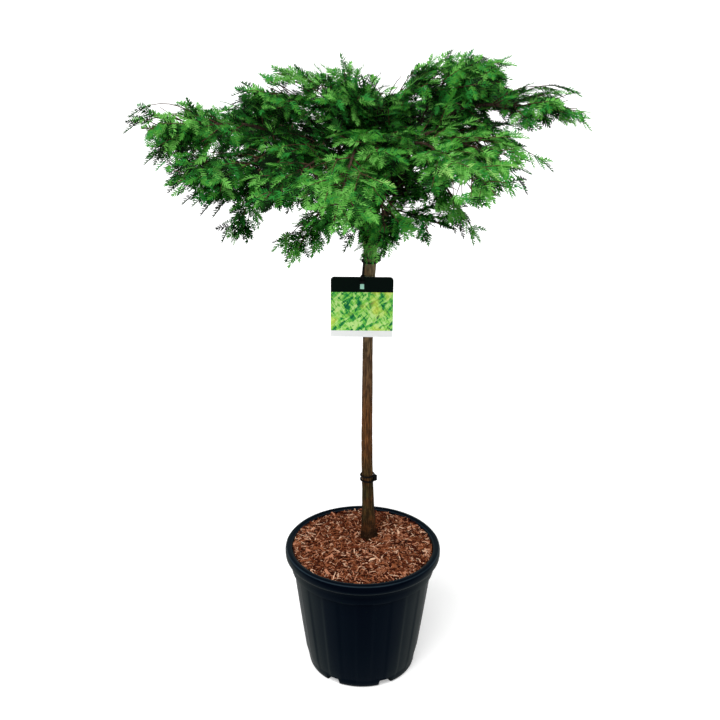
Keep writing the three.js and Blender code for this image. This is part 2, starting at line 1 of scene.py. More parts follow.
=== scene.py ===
"""A dawn redwood grown as a standard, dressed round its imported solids.

The trunk and boughs get a bark in relief, each mass of foliage is grown again as twigs with feathery
sprays of needles, and the pot, its wood chips, ties, strap and card are made as finished pieces.
Sizes are in millimetres, with +Z up and the origin in the middle of the pot's flat underside; meshes
are written in metres.
"""

from __future__ import annotations

import json
import logging
import math
from dataclasses import dataclass, field
from enum import Enum

import bmesh
import bpy
import numpy as np
from mathutils import Matrix, Vector, noise

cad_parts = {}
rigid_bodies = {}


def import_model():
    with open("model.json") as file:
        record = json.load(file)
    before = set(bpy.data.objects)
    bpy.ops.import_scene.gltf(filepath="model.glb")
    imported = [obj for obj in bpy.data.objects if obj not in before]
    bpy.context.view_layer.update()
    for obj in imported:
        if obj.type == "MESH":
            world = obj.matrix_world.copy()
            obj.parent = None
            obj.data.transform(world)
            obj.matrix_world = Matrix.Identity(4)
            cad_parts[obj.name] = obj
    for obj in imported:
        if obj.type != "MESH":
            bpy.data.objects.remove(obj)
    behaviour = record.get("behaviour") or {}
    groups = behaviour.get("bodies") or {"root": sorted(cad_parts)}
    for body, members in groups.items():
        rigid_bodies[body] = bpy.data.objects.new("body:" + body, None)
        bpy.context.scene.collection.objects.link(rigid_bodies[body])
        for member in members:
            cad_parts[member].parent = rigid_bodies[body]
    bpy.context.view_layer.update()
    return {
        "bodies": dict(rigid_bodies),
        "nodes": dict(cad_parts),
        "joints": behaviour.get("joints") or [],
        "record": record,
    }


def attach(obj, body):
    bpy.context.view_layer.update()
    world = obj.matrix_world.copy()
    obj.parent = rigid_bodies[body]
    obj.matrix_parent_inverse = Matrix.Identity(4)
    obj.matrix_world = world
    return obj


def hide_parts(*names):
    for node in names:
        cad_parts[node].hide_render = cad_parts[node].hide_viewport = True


LOG = logging.getLogger("dawn_redwood")
BODY = "root"
MM = 0.001
DOUBLES = 1e-4
EYE = (-9.1, -2327.68, 1717.6)
CROWN_FRONT = -300.0
LEADER_SEED = 1000
FINER_SEED = 5000
BOUGH_SEED = 9000
PLACE_MIX = (7919.3, 104729.7, 15485.9)

Array = np.ndarray
Pair = tuple[float, float]
Triple = tuple[float, float, float]
Color = tuple[float, ...]
Tone = float | Color
BMesh = bmesh.types.BMesh
Edge = bmesh.types.BMEdge
Thing = bpy.types.Object
Material = bpy.types.Material
Tree = bpy.types.NodeTree
Node = bpy.types.Node
Socket = bpy.types.NodeSocket


# ---- Small tools ----


class RandomStream:
    """A seeded stream of numbers from 0 to 1, the same on every machine."""

    def __init__(self, seed: int) -> None:
        """Starts the stream at a seed."""
        self.state = seed & 0xFFFFFFFF

    def number(self) -> float:
        """Draws the next number.

        Returns:
            A number from 0 to 1.
        """
        self.state = (self.state + 0x6D2B79F5) & 0xFFFFFFFF
        state = self.state
        mixed = ((state ^ (state >> 15)) * (state | 1)) & 0xFFFFFFFF
        mixed ^= (mixed + (((mixed ^ (mixed >> 7)) * (mixed | 61)) & 0xFFFFFFFF)) & 0xFFFFFFFF
        return ((mixed ^ (mixed >> 14)) & 0xFFFFFFFF) / 4294967296

    def play(self, width: float) -> float:
        """Returns a number spread evenly over a width, centred on nought."""
        return width * (self.number() - 0.5)


def vec(x: float, y: float, z: float) -> Array:
    """Returns a point or direction as an array."""
    return np.array((x, y, z), float)


def unit(vector: Array) -> Array:
    """Returns a vector at length one."""
    return vector / max(float(np.linalg.norm(vector)), 1e-12)


def heading(bearing: float, pitch: float) -> Array:
    """Returns the unit vector at a bearing and a pitch, both in degrees."""
    turn, rise = math.radians(bearing), math.radians(pitch)
    return vec(math.cos(rise) * math.cos(turn), math.cos(rise) * math.sin(turn), math.sin(rise))


def turned_about(vector: Array, axis: Array, angle: float) -> Array:
    """Turns a vector about a unit axis.

    Args:
        vector: The vector to turn.
        axis: A unit axis.
        angle: The angle in radians, by the right-hand rule.

    Returns:
        The turned vector.
    """
    cosine, sine = math.cos(angle), math.sin(angle)
    return vector * cosine + np.cross(axis, vector) * sine + axis * float(axis @ vector) * (1 - cosine)


def pitched(level: Array, above: Array, angle: float) -> Array:
    """Returns a level direction tipped up towards another by an angle in radians."""
    return unit(level * math.cos(angle) + above * math.sin(angle))


class Bezier:
    """A curve through its control points, read by shares of its length."""

    DIVISIONS = 200
    STEP = 1e-4

    def __init__(self, *controls: Array) -> None:
        """Keeps the control points and measures the curve.

        Args:
            *controls: Three or four control points.
        """
        self.controls = controls
        samples = np.array([self.raw(i / self.DIVISIONS) for i in range(self.DIVISIONS + 1)])
        steps = np.linalg.norm(np.diff(samples, axis=0), axis=1)
        self.measured = np.concatenate(([0.0], np.cumsum(steps)))
        self.length = float(self.measured[-1])

    def raw(self, t: float) -> Array:
        """Works out a point by drawing the control points together.

        Args:
            t: The curve's own parameter, from 0 to 1.

        Returns:
            The point.
        """
        points = list(self.controls)
        while len(points) > 1:
            points = [a + (b - a) * t for a, b in zip(points, points[1:])]
        return points[0]

    def parameter(self, share: float) -> float:
        """Returns the curve's own parameter at a share of its length."""
        parameters = np.linspace(0, 1, self.DIVISIONS + 1)
        return float(np.interp(share * self.length, self.measured, parameters))

    def at(self, share: float) -> Array:
        """Returns the point at a share of the length."""
        return self.raw(self.parameter(share))

    def tangent(self, share: float) -> Array:
        """Returns the unit direction at a share of the length."""
        middle, step = self.parameter(share), self.STEP
        return unit(self.raw(min(middle + step, 1.0)) - self.raw(max(middle - step, 0.0)))


class Pile:
    """Vertices and faces gathered for one joined mesh."""

    def __init__(self) -> None:
        """Starts empty."""
        self.points: list[Array] = []
        self.faces: list[Array] = []
        self.slots: list[Array] = []
        self.count = 0

    def add(self, points: Array, faces: Array, slot: int | Array = 0) -> None:
        """Adds one shape.

        Args:
            points: Its vertices, one row each, in millimetres.
            faces: Its faces as rows of three vertex numbers.
            slot: The number of the material that its faces take, or one number for each face.
        """
        self.points.append(points)
        self.faces.append(faces + self.count)
        self.slots.append(np.full(len(faces), slot, np.int32))
        self.count += len(points)

    def make(self, name: str, materials: list[Material], smooth: bool) -> Thing:
        """Makes the joined mesh.

        Args:
            name: The object's name.
            materials: The materials, by slot number.
            smooth: Whether its faces are shaded smooth.

        Returns:
            The new object.
        """
        points = np.concatenate(self.points) * MM
        faces = np.concatenate(self.faces).astype(np.int32)
        mesh = bpy.data.meshes.new(name)
        mesh.vertices.add(len(points))
        mesh.vertices.foreach_set("co", points.astype(np.float32).ravel())
        mesh.loops.add(faces.size)
        mesh.loops.foreach_set("vertex_index", faces.ravel())
        mesh.polygons.add(len(faces))
        mesh.polygons.foreach_set("loop_start", np.arange(0, faces.size, 3, dtype=np.int32))
        mesh.polygons.foreach_set("material_index", np.concatenate(self.slots))
        mesh.polygons.foreach_set("use_smooth", np.full(len(faces), smooth))
        mesh.update(calc_edges=True)
        mesh.validate()
        return new_object(name, mesh, materials)


def new_object(name: str, mesh: bpy.types.Mesh, materials: list[Material]) -> Thing:
    """Links a mesh to the scene as an object with its materials.

    Args:
        name: The object's name.
        mesh: Its mesh.
        materials: The materials, by slot number.

    Returns:
        The new object.
    """
    for material in materials:
        mesh.materials.append(material)
    thing = bpy.data.objects.new(name, mesh)
    bpy.context.scene.collection.objects.link(thing)
    return thing


def finish_bmesh(shape: BMesh, name: str, materials: list[Material], smooth_angle: float = 40.0) -> Thing:
    """Turns a shape that was worked out in millimetres into an object in metres.

    Args:
        shape: The shape, which is freed.
        name: The object's name.
        materials: The materials, by slot number.
        smooth_angle: Edges that bend more than this many degrees stay sharp.

    Returns:
        The new object.
    """
    bmesh.ops.scale(shape, vec=(MM, MM, MM), verts=shape.verts)
    shape.normal_update()
    limit = math.radians(smooth_angle)
    for edge in shape.edges:
        edge.smooth = len(edge.link_faces) != 2 or edge.calc_face_angle(0.0) < limit
    for face in shape.faces:
        face.smooth = True
    mesh = bpy.data.meshes.new(name)
    shape.to_mesh(mesh)
    shape.free()
    return new_object(name, mesh, materials)


def face_outwards(shape: BMesh) -> None:
    """Merges doubled vertices and turns every face outwards."""
    bmesh.ops.remove_doubles(shape, verts=shape.verts, dist=DOUBLES)
    bmesh.ops.recalc_face_normals(shape, faces=shape.faces)


def spin_round(shape: BMesh, section: list[object], steps: int) -> None:
    """Turns a section once round the upright axis.

    Args:
        shape: The shape that holds it.
        section: Its vertices and edges.
        steps: The steps in the full turn.
    """
    bmesh.ops.spin(
        shape, geom=section, axis=(0, 0, 1), cent=(0, 0, 0), dvec=(0, 0, 0), angle=2 * math.pi,
        steps=steps, use_merge=True, use_normal_flip=False, use_duplicate=False,
    )


def turn_profile(shape: BMesh, profile: tuple[Pair, ...], steps: int) -> None:
    """Turns an outline of radii and heights into a closed round body.

    Args:
        shape: Where it goes.
        profile: The outline's points, from the axis back to the axis.
        steps: The steps in the full turn.
    """
    line = [shape.verts.new((radius, 0, height)) for radius, height in profile]
    spin_round(shape, line + [shape.edges.new(pair) for pair in zip(line, line[1:])], steps)
    bmesh.ops.remove_doubles(shape, verts=shape.verts, dist=10 * DOUBLES)


def round_edges(shape: BMesh, edges: list[Edge], offset: float, segments: int) -> list[object]:
    """Rounds some edges.

    Args:
        shape: The shape that holds them.
        edges: The edges.
        offset: How far the rounding reaches.
        segments: How many faces go round.

    Returns:
        The vertices of the rounding.
    """
    return bmesh.ops.bevel(
        shape, geom=edges, offset=offset, segments=segments, profile=0.5, affect="EDGES", material=-1,
    )["verts"]


def edges_of(verts: list[object]) -> list[Edge]:
    """Returns the edges at some vertices, each of them once."""
    return list(dict.fromkeys(edge for vert in verts for edge in vert.link_edges))


def add_block(shape: BMesh, size: tuple[float, ...], middle: tuple[float, ...]) -> list[object]:
    """Adds a square block.

    Args:
        shape: Where it goes.
        size: Its size along each axis.
        middle: Its middle.

    Returns:
        Its vertices.
    """
    verts = bmesh.ops.create_cube(shape, size=1.0)["verts"]
    bmesh.ops.scale(shape, vec=size, verts=verts)
    bmesh.ops.translate(shape, vec=middle, verts=verts)
    return verts


def settle(thing: Thing, slot: str, *nodes: str) -> Thing:
    """Lets a piece ride on the plant and hides the nodes of the solids that it stands for.

    Args:
        thing: The finished piece.
        slot: Its material slot; not used.
        *nodes: The nodes of the solids that it replaces.

    Returns:
        The piece.
    """
    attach(thing, BODY)
    if nodes:
        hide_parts(*nodes)
    return thing


def tube(
    path: Array, radii: Array, sides: int, ridge: float = 0.0, seed: float = 0.0
) -> tuple[Array, Array]:
    """Works out a closed round tube along a path.

    Args:
        path: The points of its middle.
        radii: Its radius at each of them.
        sides: How many sides it has.
        ridge: How deep its bark's relief is, as a share of the radius.
        seed: Where in the noise its relief starts.

    Returns:
        Its vertices and its triangles, facing outwards.
    """
    ahead = np.gradient(path, axis=0)
    ahead /= np.linalg.norm(ahead, axis=1)[:, None]
    side = unit(np.cross(ahead[0], vec(0.13, 0.31, 0.94)))
    angles = np.arange(sides) * (2 * math.pi / sides)
    rows = []
    travelled = 0.0
    for index, (point, direction, radius) in enumerate(zip(path, ahead, radii)):
        side = unit(side - direction * float(side @ direction))
        other = np.cross(direction, side)
        travelled += float(np.linalg.norm(point - path[max(index - 1, 0)]))
        reach = np.full(sides, radius)
        if ridge:
            relief = [
                noise.noise(Vector((math.cos(a) * 1.7 + seed, math.sin(a) * 1.7, travelled * 0.05)))
                + 0.5 * noise.noise(Vector((math.cos(a) * 4 + seed, math.sin(a) * 4, travelled * 0.16)))
                for a in angles
            ]
            reach = radius * (1 + ridge * np.array(relief))
        row = point + np.outer(np.cos(angles) * reach, side)
        rows.append(row + np.outer(np.sin(angles) * reach, other))
    points = np.concatenate(rows + [path[:1], path[-1:]])
    rings = len(path)
    index = np.arange(sides)
    after = (index + 1) % sides
    faces = []
    for ring in range(rings - 1):
        low, high = ring * sides, (ring + 1) * sides
        faces.append(np.stack((low + index, low + after, high + after), 1))
        faces.append(np.stack((low + index, high + after, high + index), 1))
    foot, end = rings * sides, rings * sides + 1
    last = (rings - 1) * sides
    faces.append(np.stack((np.full(sides, foot), after, index), 1))
    faces.append(np.stack((np.full(sides, end), last + index, last + after), 1))
    return points, np.concatenate(faces)


# ---- Finishes ----


class Bench:
    """A node tree with short ways to add and join its nodes."""

    def __init__(self, tree: Tree) -> None:
        """Keeps the tree."""
        self.tree = tree

    def add(self, kind: str, settings: dict[str, object] | None = None, **inputs: object) -> Node:
        """Adds a node.

        Args:
            kind: The node's type, without the ShaderNode before it.
            settings: Its own properties.
            **inputs: Values or sockets for its inputs, with _ for a space in their names.

        Returns:
            The new node.
        """
        node = self.tree.nodes.new("ShaderNode" + kind)
        for key, value in (settings or {}).items():
            setattr(node, key, value)
        return self.fill(node, inputs)

    def fill(self, node: Node, inputs: dict[str, object]) -> Node:
        """Gives a node its inputs.

        Args:
            node: The node.
            inputs: Values or sockets by the inputs' names, with _ for a space.

        Returns:
            The node.
        """
        for key, value in inputs.items():
            self.feed(node.inputs[key.replace("_", " ")], value)
        return node

    def feed(self, socket: Socket, value: object) -> None:
        """Joins a socket to an input, or sets the input's own value.

        Args:
            socket: The input.
            value: The socket or the value.
        """
        if isinstance(value, Socket):
            self.tree.links.new(value, socket)
        else:
            socket.default_value = value

    def maths(self, operation: str, first: object, second: object = 0.0, clamp: bool = False) -> object:
        """Adds a Math node.

        Args:
            operation: Its operation.
            first: Its first input.
            second: Its second input.
            clamp: Whether its result is kept from 0 to 1.

        Returns:
            Its output.
        """
        node = self.add("Math", {"operation": operation, "use_clamp": clamp})
        self.feed(node.inputs[0], first)
        self.feed(node.inputs[1], second)
        return node.outputs[0]

    def blend(self, factor: object, first: object, second: object, mode: str = "MIX") -> object:
        """Adds a Mix node for colours.

        Args:
            factor: How much of the second colour shows.
            first: The first colour.
            second: The second colour.
            mode: How they are blended.

        Returns:
            Its colour output.
        """
        node = self.add("Mix", {"data_type": "RGBA", "blend_type": mode})
        self.feed(node.inputs[0], factor)
        self.feed(node.inputs[6], first)
        self.feed(node.inputs[7], second)
        return node.outputs[2]

    def ramp(self, factor: object, stops: list[tuple[float, Tone]]) -> object:
        """Adds a Color Ramp.

        Args:
            factor: What it reads.
            stops: Its places and tones, in order.

        Returns:
            Its colour output.
        """
        node = self.add("ValToRGB", Fac=factor)
        elements = node.color_ramp.elements
        while len(elements) < len(stops):
            elements.new(0.5)
        for element, (place, color) in zip(elements, stops):
            element.position = place
            element.color = rgba(color)
        return node.outputs["Color"]

    def mapped(self, value: object, source: Pair, target: Pair) -> object:
        """Adds a Map Range node.

        Args:
            value: What it reads.
            source: The range that it reads.
            target: The range that it puts out.

        Returns:
            Its output.
        """
        node = self.add("MapRange", Value=value)
        for label, number in zip(("From Min", "From Max", "To Min", "To Max"), source + target):
            node.inputs[label].default_value = number
        return node.outputs["Result"]


def rgba(tone: Tone) -> tuple[float, float, float, float]:
    """Returns a colour, or a grey given as one number, with its alpha."""
    red, green, blue = tone if isinstance(tone, tuple) else (tone, tone, tone)
    return (red, green, blue, 1.0)


def linear(red: int, green: int, blue: int) -> Color:
    """Returns a screen colour, from 0 to 255, as a linear one."""
    values = [value / 255 for value in (red, green, blue)]
    return tuple(v / 12.92 if v <= 0.04045 else ((v + 0.055) / 1.055) ** 2.4 for v in values)


def new_group(name: str, inputs: dict[str, tuple[str, float]], outputs: dict[str, str]) -> Tree:
    """Starts a shader node group with named sockets.

    Args:
        name: The group's name.
        inputs: The kind and default of each input.
        outputs: The kind of each output.

    Returns:
        The group, with its input and output nodes in it.
    """
    group = bpy.data.node_groups.new(name, "ShaderNodeTree")
    for label, (kind, default) in inputs.items():
        socket = group.interface.new_socket(label, in_out="INPUT", socket_type="NodeSocket" + kind)
        if kind == "Float":
            socket.default_value = default
    for label, kind in outputs.items():
        group.interface.new_socket(label, in_out="OUTPUT", socket_type="NodeSocket" + kind)
    group.nodes.new("NodeGroupInput")
    group.nodes.new("NodeGroupOutput")
    return group


class Effects:
    """The effects that several finishes share, each a node group that is built once."""

    def __init__(self) -> None:
        """Builds the groups."""
        self.grain = self.build_grain()
        self.speckle = self.build_speckle()

    @staticmethod
    def build_grain() -> Tree:
        """Builds the grain of bark and wood: fibres and cracks drawn out along Z.

        Returns:
            A group that puts out a mask of fibres, a mask of cracks and a height.
        """
        group = new_group(
            "LongGrain",
            {
                "Vector": ("Vector", 0), "Scale": ("Float", 300), "Stretch": ("Float", 0.12),
                "Crack": ("Float", 0.5),
            },
            {"Fibre": "Float", "Cracks": "Float", "Height": "Float"},
        )
        bench = Bench(group)
        source = group.nodes["Group Input"]
        across = bench.add("CombineXYZ", X=1.0, Y=1.0, Z=source.outputs["Stretch"])
        drawn = bench.add("VectorMath", {"operation": "MULTIPLY"}, Vector=source.outputs["Vector"])
        bench.feed(drawn.inputs[1], across.outputs[0])
        place, scale = drawn.outputs[0], source.outputs["Scale"]
        fibre = bench.add("TexNoise", Vector=place, Scale=scale, Detail=6.0, Roughness=0.62)
        coarse = bench.maths("MULTIPLY", scale, 0.42)
        cracks = bench.add("TexVoronoi", {"feature": "DISTANCE_TO_EDGE"}, Vector=place, Scale=coarse)
        open_cracks = bench.mapped(cracks.outputs["Distance"], (0.0, 0.12), (1.0, 0.0))
        masked = bench.maths("MULTIPLY", open_cracks, source.outputs["Crack"])
        height = bench.maths("SUBTRACT", fibre.outputs["Fac"], masked)
        made = {"Fibre": fibre.outputs["Fac"], "Cracks": masked, "Height": height}
        bench.fill(group.nodes["Group Output"], made)
        return group

    @staticmethod
    def build_speckle() -> Tree:
        """Builds fine unevenness: soft patches and small grains.

        Returns:
            A group that puts out a mask of patches, a mask of grains and a height.
        """
        group = new_group(
            "FineSpeckle",
            {"Vector": ("Vector", 0), "Patch": ("Float", 20), "Grain": ("Float", 900)},
            {"Patches": "Float", "Grains": "Float", "Height": "Float"},
        )
        bench = Bench(group)
        source = group.nodes["Group Input"]
        place = source.outputs["Vector"]
        patches = bench.add("TexNoise", Vector=place, Scale=source.outputs["Patch"], Detail=3.0)
        grains = bench.add("TexNoise", Vector=place, Scale=source.outputs["Grain"], Detail=2.0)
        made = {"Patches": patches.outputs["Fac"], "Grains": grains.outputs["Fac"]}
        made["Height"] = bench.maths("MULTIPLY", made["Patches"], made["Grains"])
        bench.fill(group.nodes["Group Output"], made)
        return group


@dataclass(frozen=True)
class Surface:
    """A material in the making: its bench, its shader, its object coordinates and the shared effects."""

    bench: Bench
    shader: Node
    place: Socket
    effects: Effects

    def grain(self, scale: float, stretch: float, crack: float) -> Node:
        """Places the long grain."""
        group = {"node_tree": self.effects.grain}
        return self.bench.add("Group", group, Vector=self.place, Scale=scale, Stretch=stretch, Crack=crack)

    def speckle(self, patch: float, grain: float) -> Node:
        """Places the fine unevenness."""
        group = {"node_tree": self.effects.speckle}
        return self.bench.add("Group", group, Vector=self.place, Patch=patch, Grain=grain)

    def height(self) -> object:
        """Returns the height over the ground, in metres."""
        return self.bench.add("SeparateXYZ", Vector=self.place).outputs["Z"]

    def color(self, tone: object) -> None:
        """Gives the surface its colour."""
        self.bench.feed(self.shader.inputs["Base Color"], tone)

    def roughen(self, mask: object, smooth: float, rough: float) -> None:
        """Gives the surface its roughness, from smooth to rough by a mask."""
        uneven = self.bench.mapped(mask, (0.0, 1.0), (smooth, rough))
        self.bench.feed(self.shader.inputs["Roughness"], uneven)

    def relief(self, height: object, distance: float, strength: float) -> None:
        """Lets a height raise the surface.

        Args:
            height: The socket of the height.
            distance: How high it stands, in metres.
            strength: How strongly it shows.
        """
        bump = self.bench.add("Bump", Height=height, Distance=distance, Strength=strength)
        self.bench.feed(self.shader.inputs["Normal"], bump.outputs["Normal"])


@dataclass(frozen=True)
class Finish:
    """A surface finish: its name and the plain numbers of its shader."""

    name: str
    roughness: float = 0.6
    specular: float = 0.5

    def build(self, effects: Effects) -> Material:
        """Builds the material.

        Args:
            effects: The effects that the finishes share.

        Returns:
            The material.
        """
        material = bpy.data.materials.new(self.name)
        material.use_nodes = True
        bench = Bench(material.node_tree)
        shader = material.node_tree.nodes["Principled BSDF"]
        bench.fill(shader, {"Roughness": self.roughness, "Specular IOR Level": self.specular})
        place = bench.add("TexCoord").outputs["Object"]
        self.dress(Surface(bench, shader, place, effects))
        return material

    def dress(self, surface: Surface) -> None:
        """Lays the finish's own tones and relief on its surface."""
        raise NotImplementedError(f"{self.name} has no finish for {surface}")


@dataclass(frozen=True)
class TrunkBark(Finish):
    """Old bark: dark and mossy at the foot, reddish in the middle, grey-brown and fissured at the head."""

    foot: Color = linear(46, 28, 14)
    moss: Color = linear(56, 50, 26)
    red: Color = linear(92, 60, 32)
    brown: Color = linear(96, 76, 54)
    grey: Color = linear(104, 94, 70)
    rust: Color = linear(112, 66, 32)
    fleck: Color = linear(150, 128, 98)
    dark: Color = linear(26, 16, 9)
    reach: Pair = (0.26, 0.98)

    def dress(self, surface: Surface) -> None:
        """Lays zones of colour up the trunk, and on them rust, fibres, cracks and flecks.

        Args:
            surface: The trunk's surface.
        """
        bench = surface.bench
        grain = surface.grain(scale=420.0, stretch=0.09, crack=0.5)
        fine = surface.grain(scale=1100.0, stretch=0.22, crack=0.3)
        speckle = surface.speckle(patch=38.0, grain=1500.0)
        zones = bench.ramp(
            bench.mapped(surface.height(), self.reach, (0.0, 1.0)),
            [
                (0.0, self.foot), (0.06, self.foot), (0.12, self.moss), (0.2, self.moss),
                (0.3, self.red), (0.42, self.red), (0.6, self.brown), (0.8, self.grey), (1.0, self.grey),
            ],
        )
        rusty = bench.ramp(speckle.outputs["Patches"], [(0.5, 0.0), (0.68, 0.42)])
        patched = bench.blend(rusty, zones, rgba(self.rust))
        shade = bench.ramp(
            grain.outputs["Fibre"], [(0.34, (0.22, 0.2, 0.18)), (0.5, 0.86), (0.66, (1.95, 1.9, 1.8))],
        )
        fibred = bench.blend(1.0, patched, shade, "MULTIPLY")
        cracked = bench.blend(grain.outputs["Cracks"], fibred, rgba(self.dark))
        flecks = bench.ramp(fine.outputs["Fibre"], [(0.6, 0.0), (0.72, 0.6)])
        surface.color(bench.blend(flecks, cracked, rgba(self.fleck)))
        surface.roughen(grain.outputs["Fibre"], 0.7, 0.95)
        fine_height = bench.maths("MULTIPLY", fine.outputs["Height"], 0.35)
        surface.relief(bench.maths("ADD", grain.outputs["Height"], fine_height), 0.0011, 0.9)


@dataclass(frozen=True)
class BoughBark(Finish):
    """Young bark: thin, dark reddish brown, peeling a little."""

    base: Color = linear(66, 50, 38)
    light: Color = linear(108, 86, 64)
    dark: Color = linear(26, 19, 15)

    def dress(self, surface: Surface) -> None:
        """Lays dark, middle and light fibres.

        Args:
            surface: The boughs' surface.
        """
        grain = surface.grain(scale=420.0, stretch=0.5, crack=0.6)
        fibre = grain.outputs["Fibre"]
        surface.color(surface.bench.ramp(fibre, [(0.3, self.dark), (0.5, self.base), (0.72, self.light)]))
        surface.roughen(fibre, 0.6, 0.9)
        surface.relief(grain.outputs["Height"], 0.0006, 0.8)


@dataclass(frozen=True)
class Plain(Finish):
    """One plain colour for the many small things that share a mesh, with a slightly uneven gloss."""

    color: Color = (0.1, 0.1, 0.1)
    grain: float = 700.0

    def dress(self, surface: Surface) -> None:
        """Lays the colour and lets its gloss vary.

        Args:
            surface: The things' surface.
        """
        surface.color(rgba(self.color))
        speckle = surface.speckle(patch=60.0, grain=self.grain)
        surface.roughen(speckle.outputs["Patches"], self.roughness - 0.08, min(self.roughness + 0.1, 1.0))


@dataclass(frozen=True)
class PotPlastic(Finish):
    """Blue-black moulded plastic, with painted reflection that pales it where it turns away, and a painted
    highlight line along the lip.
    """

    # From base to edge these tones are painted reflection: the wall is paler the more it turns away.
    base: Color = (0.0003, 0.0014, 0.0042)
    middle: Color = linear(5, 12, 21)
    turning: Color = linear(12, 19, 27)
    turned: Color = linear(25, 32, 36)
    edge: Color = linear(41, 47, 48)
    # Colour of the painted highlight line along the lip.
    lip_highlight: Color = linear(58, 74, 84)
    lip: float = 0.2764
    lip_half: float = 0.0016

    def dress(self, surface: Surface) -> None:
        """Lays painted reflection, paler by how far the wall turns away, and the painted highlight line on
        the lip.

        Args:
            surface: The pot's surface.
        """
        bench = surface.bench
        patches = surface.speckle(patch=14.0, grain=1400.0)
        # Painted reflection: the tone pales with how far the wall turns away from the eye.
        facing = bench.add("LayerWeight", Blend=0.5).outputs["Facing"]
        tone = bench.ramp(facing, [
            (0.21, self.base), (0.3, self.middle), (0.4, self.turning), (0.52, self.turned),
            (0.68, self.edge),
        ])
        # Painted highlight: a thin line at the lip's height, broken into patches, lightens the tone.
        off = bench.maths("ABSOLUTE", bench.maths("SUBTRACT", surface.height(), self.lip))
        near = bench.mapped(off, (0.0, self.lip_half), (0.8, 0.0))
        wear_and_highlight = bench.maths("MULTIPLY", near, patches.outputs["Patches"])
        surface.color(bench.blend(wear_and_highlight, tone, rgba(self.lip_highlight)))
        surface.roughen(patches.outputs["Patches"], 0.2, 0.42)
        surface.relief(patches.outputs["Height"], 0.00012, 0.35)


@dataclass(frozen=True)
class Earth(Finish):
    """Damp dark compost or the fine dust between the chips."""

    base: Color = linear(26, 12, 6)
    light: Color = linear(84, 42, 26)

    def dress(self, surface: Surface) -> None:
        """Lays dark and light crumbs.

        Args:
            surface: The earth's surface.
        """
        speckle = surface.speckle(patch=260.0, grain=1100.0)
        crumbs = [(0.38, self.base), (0.68, self.light)]
        surface.color(surface.bench.ramp(speckle.outputs["Patches"], crumbs))
        surface.relief(speckle.outputs["Height"], 0.003, 1.0)


@dataclass(frozen=True)
class TieRubber(Finish):
    """Soft black tying cord and its strap, with a little wear."""

    base: Color = (0.0016, 0.0016, 0.0019)
    wear_and_highlight: Color = linear(26, 26, 27)

    def dress(self, surface: Surface) -> None:
        """Lays lighter patches of wear on black.

        Args:
            surface: The cord's surface.
        """
        bench = surface.bench
        speckle = surface.speckle(patch=160.0, grain=2200.0)
        patches = bench.mapped(speckle.outputs["Patches"], (0.0, 1.0), (-0.3, 0.8))
        wear_and_highlight = bench.maths("MULTIPLY", patches, 0.5, clamp=True)
        surface.color(bench.blend(wear_and_highlight, rgba(self.base), rgba(self.wear_and_highlight)))
        surface.roughen(speckle.outputs["Grains"], 0.35, 0.65)
        surface.relief(speckle.outputs["Height"], 0.00025, 0.5)


@dataclass(frozen=True)
class CardPicture(Finish):
    """The card's printed field: a plain pattern of overlapping leaf shapes in greens and pale yellow."""

    deep: Color = linear(8, 104, 62)
    dark: Color = linear(26, 140, 66)
    leaf: Color = linear(84, 190, 76)
    fresh: Color = linear(142, 222, 84)
    pale: Color = linear(204, 244, 150)
    warm: Color = linear(232, 244, 92)
    leaves: tuple[float, ...] = (0.0046, 0.011, 0.0145)
    leaf_turn: float = 0.75
    small_leaves: tuple[float, ...] = (0.003, 0.011, 0.0095)
    small_leaf_turn: float = -0.6

    def leaf_layer(self, surface: Surface, turn: float, size: tuple[float, ...]) -> object:
        """Lays slanted leaf shapes of one size, each with its own shade.

        Args:
            surface: The card's surface.
            turn: Their slant in radians.
            size: Their size in metres.

        Returns:
            The socket of their shades.
        """
        bench = surface.bench
        slanted = bench.add("Mapping", {"vector_type": "TEXTURE"}, Vector=surface.place)
        slanted.inputs["Rotation"].default_value = (0.0, turn, 0.0)
        slanted.inputs["Scale"].default_value = size
        blades = bench.add(
            "TexVoronoi", {"feature": "F1"}, Vector=slanted.outputs[0], Scale=1.0, Randomness=1.0,
        )
        shade = bench.add("SeparateColor", Color=blades.outputs["Color"]).outputs[0]
        return bench.maths("ADD", shade, bench.maths("MULTIPLY", blades.outputs["Distance"], 0.4))

    def dress(self, surface: Surface) -> None:
        """Lays two layers of leaf shapes, warmer in patches.

        Args:
            surface: The card's surface.
        """
        bench = surface.bench
        speckle = surface.speckle(patch=26.0, grain=300.0)
        large = self.leaf_layer(surface, self.leaf_turn, self.leaves)
        small = self.leaf_layer(surface, self.small_leaf_turn, self.small_leaves)
        large, small = bench.maths("MULTIPLY", large, 0.55), bench.maths("MULTIPLY", small, 0.4)
        mottle = bench.maths("ADD", large, small)
        tone = bench.ramp(mottle, [
            (0.28, self.deep), (0.42, self.dark), (0.56, self.leaf), (0.7, self.fresh), (0.92, self.pale),
        ])
        sunny = bench.ramp(speckle.outputs["Patches"], [(0.56, 0.0), (0.68, 0.6)])
        surface.color(bench.blend(sunny, tone, rgba(self.warm)))


# ---- The limbs and the rule by which the foliage grows ----


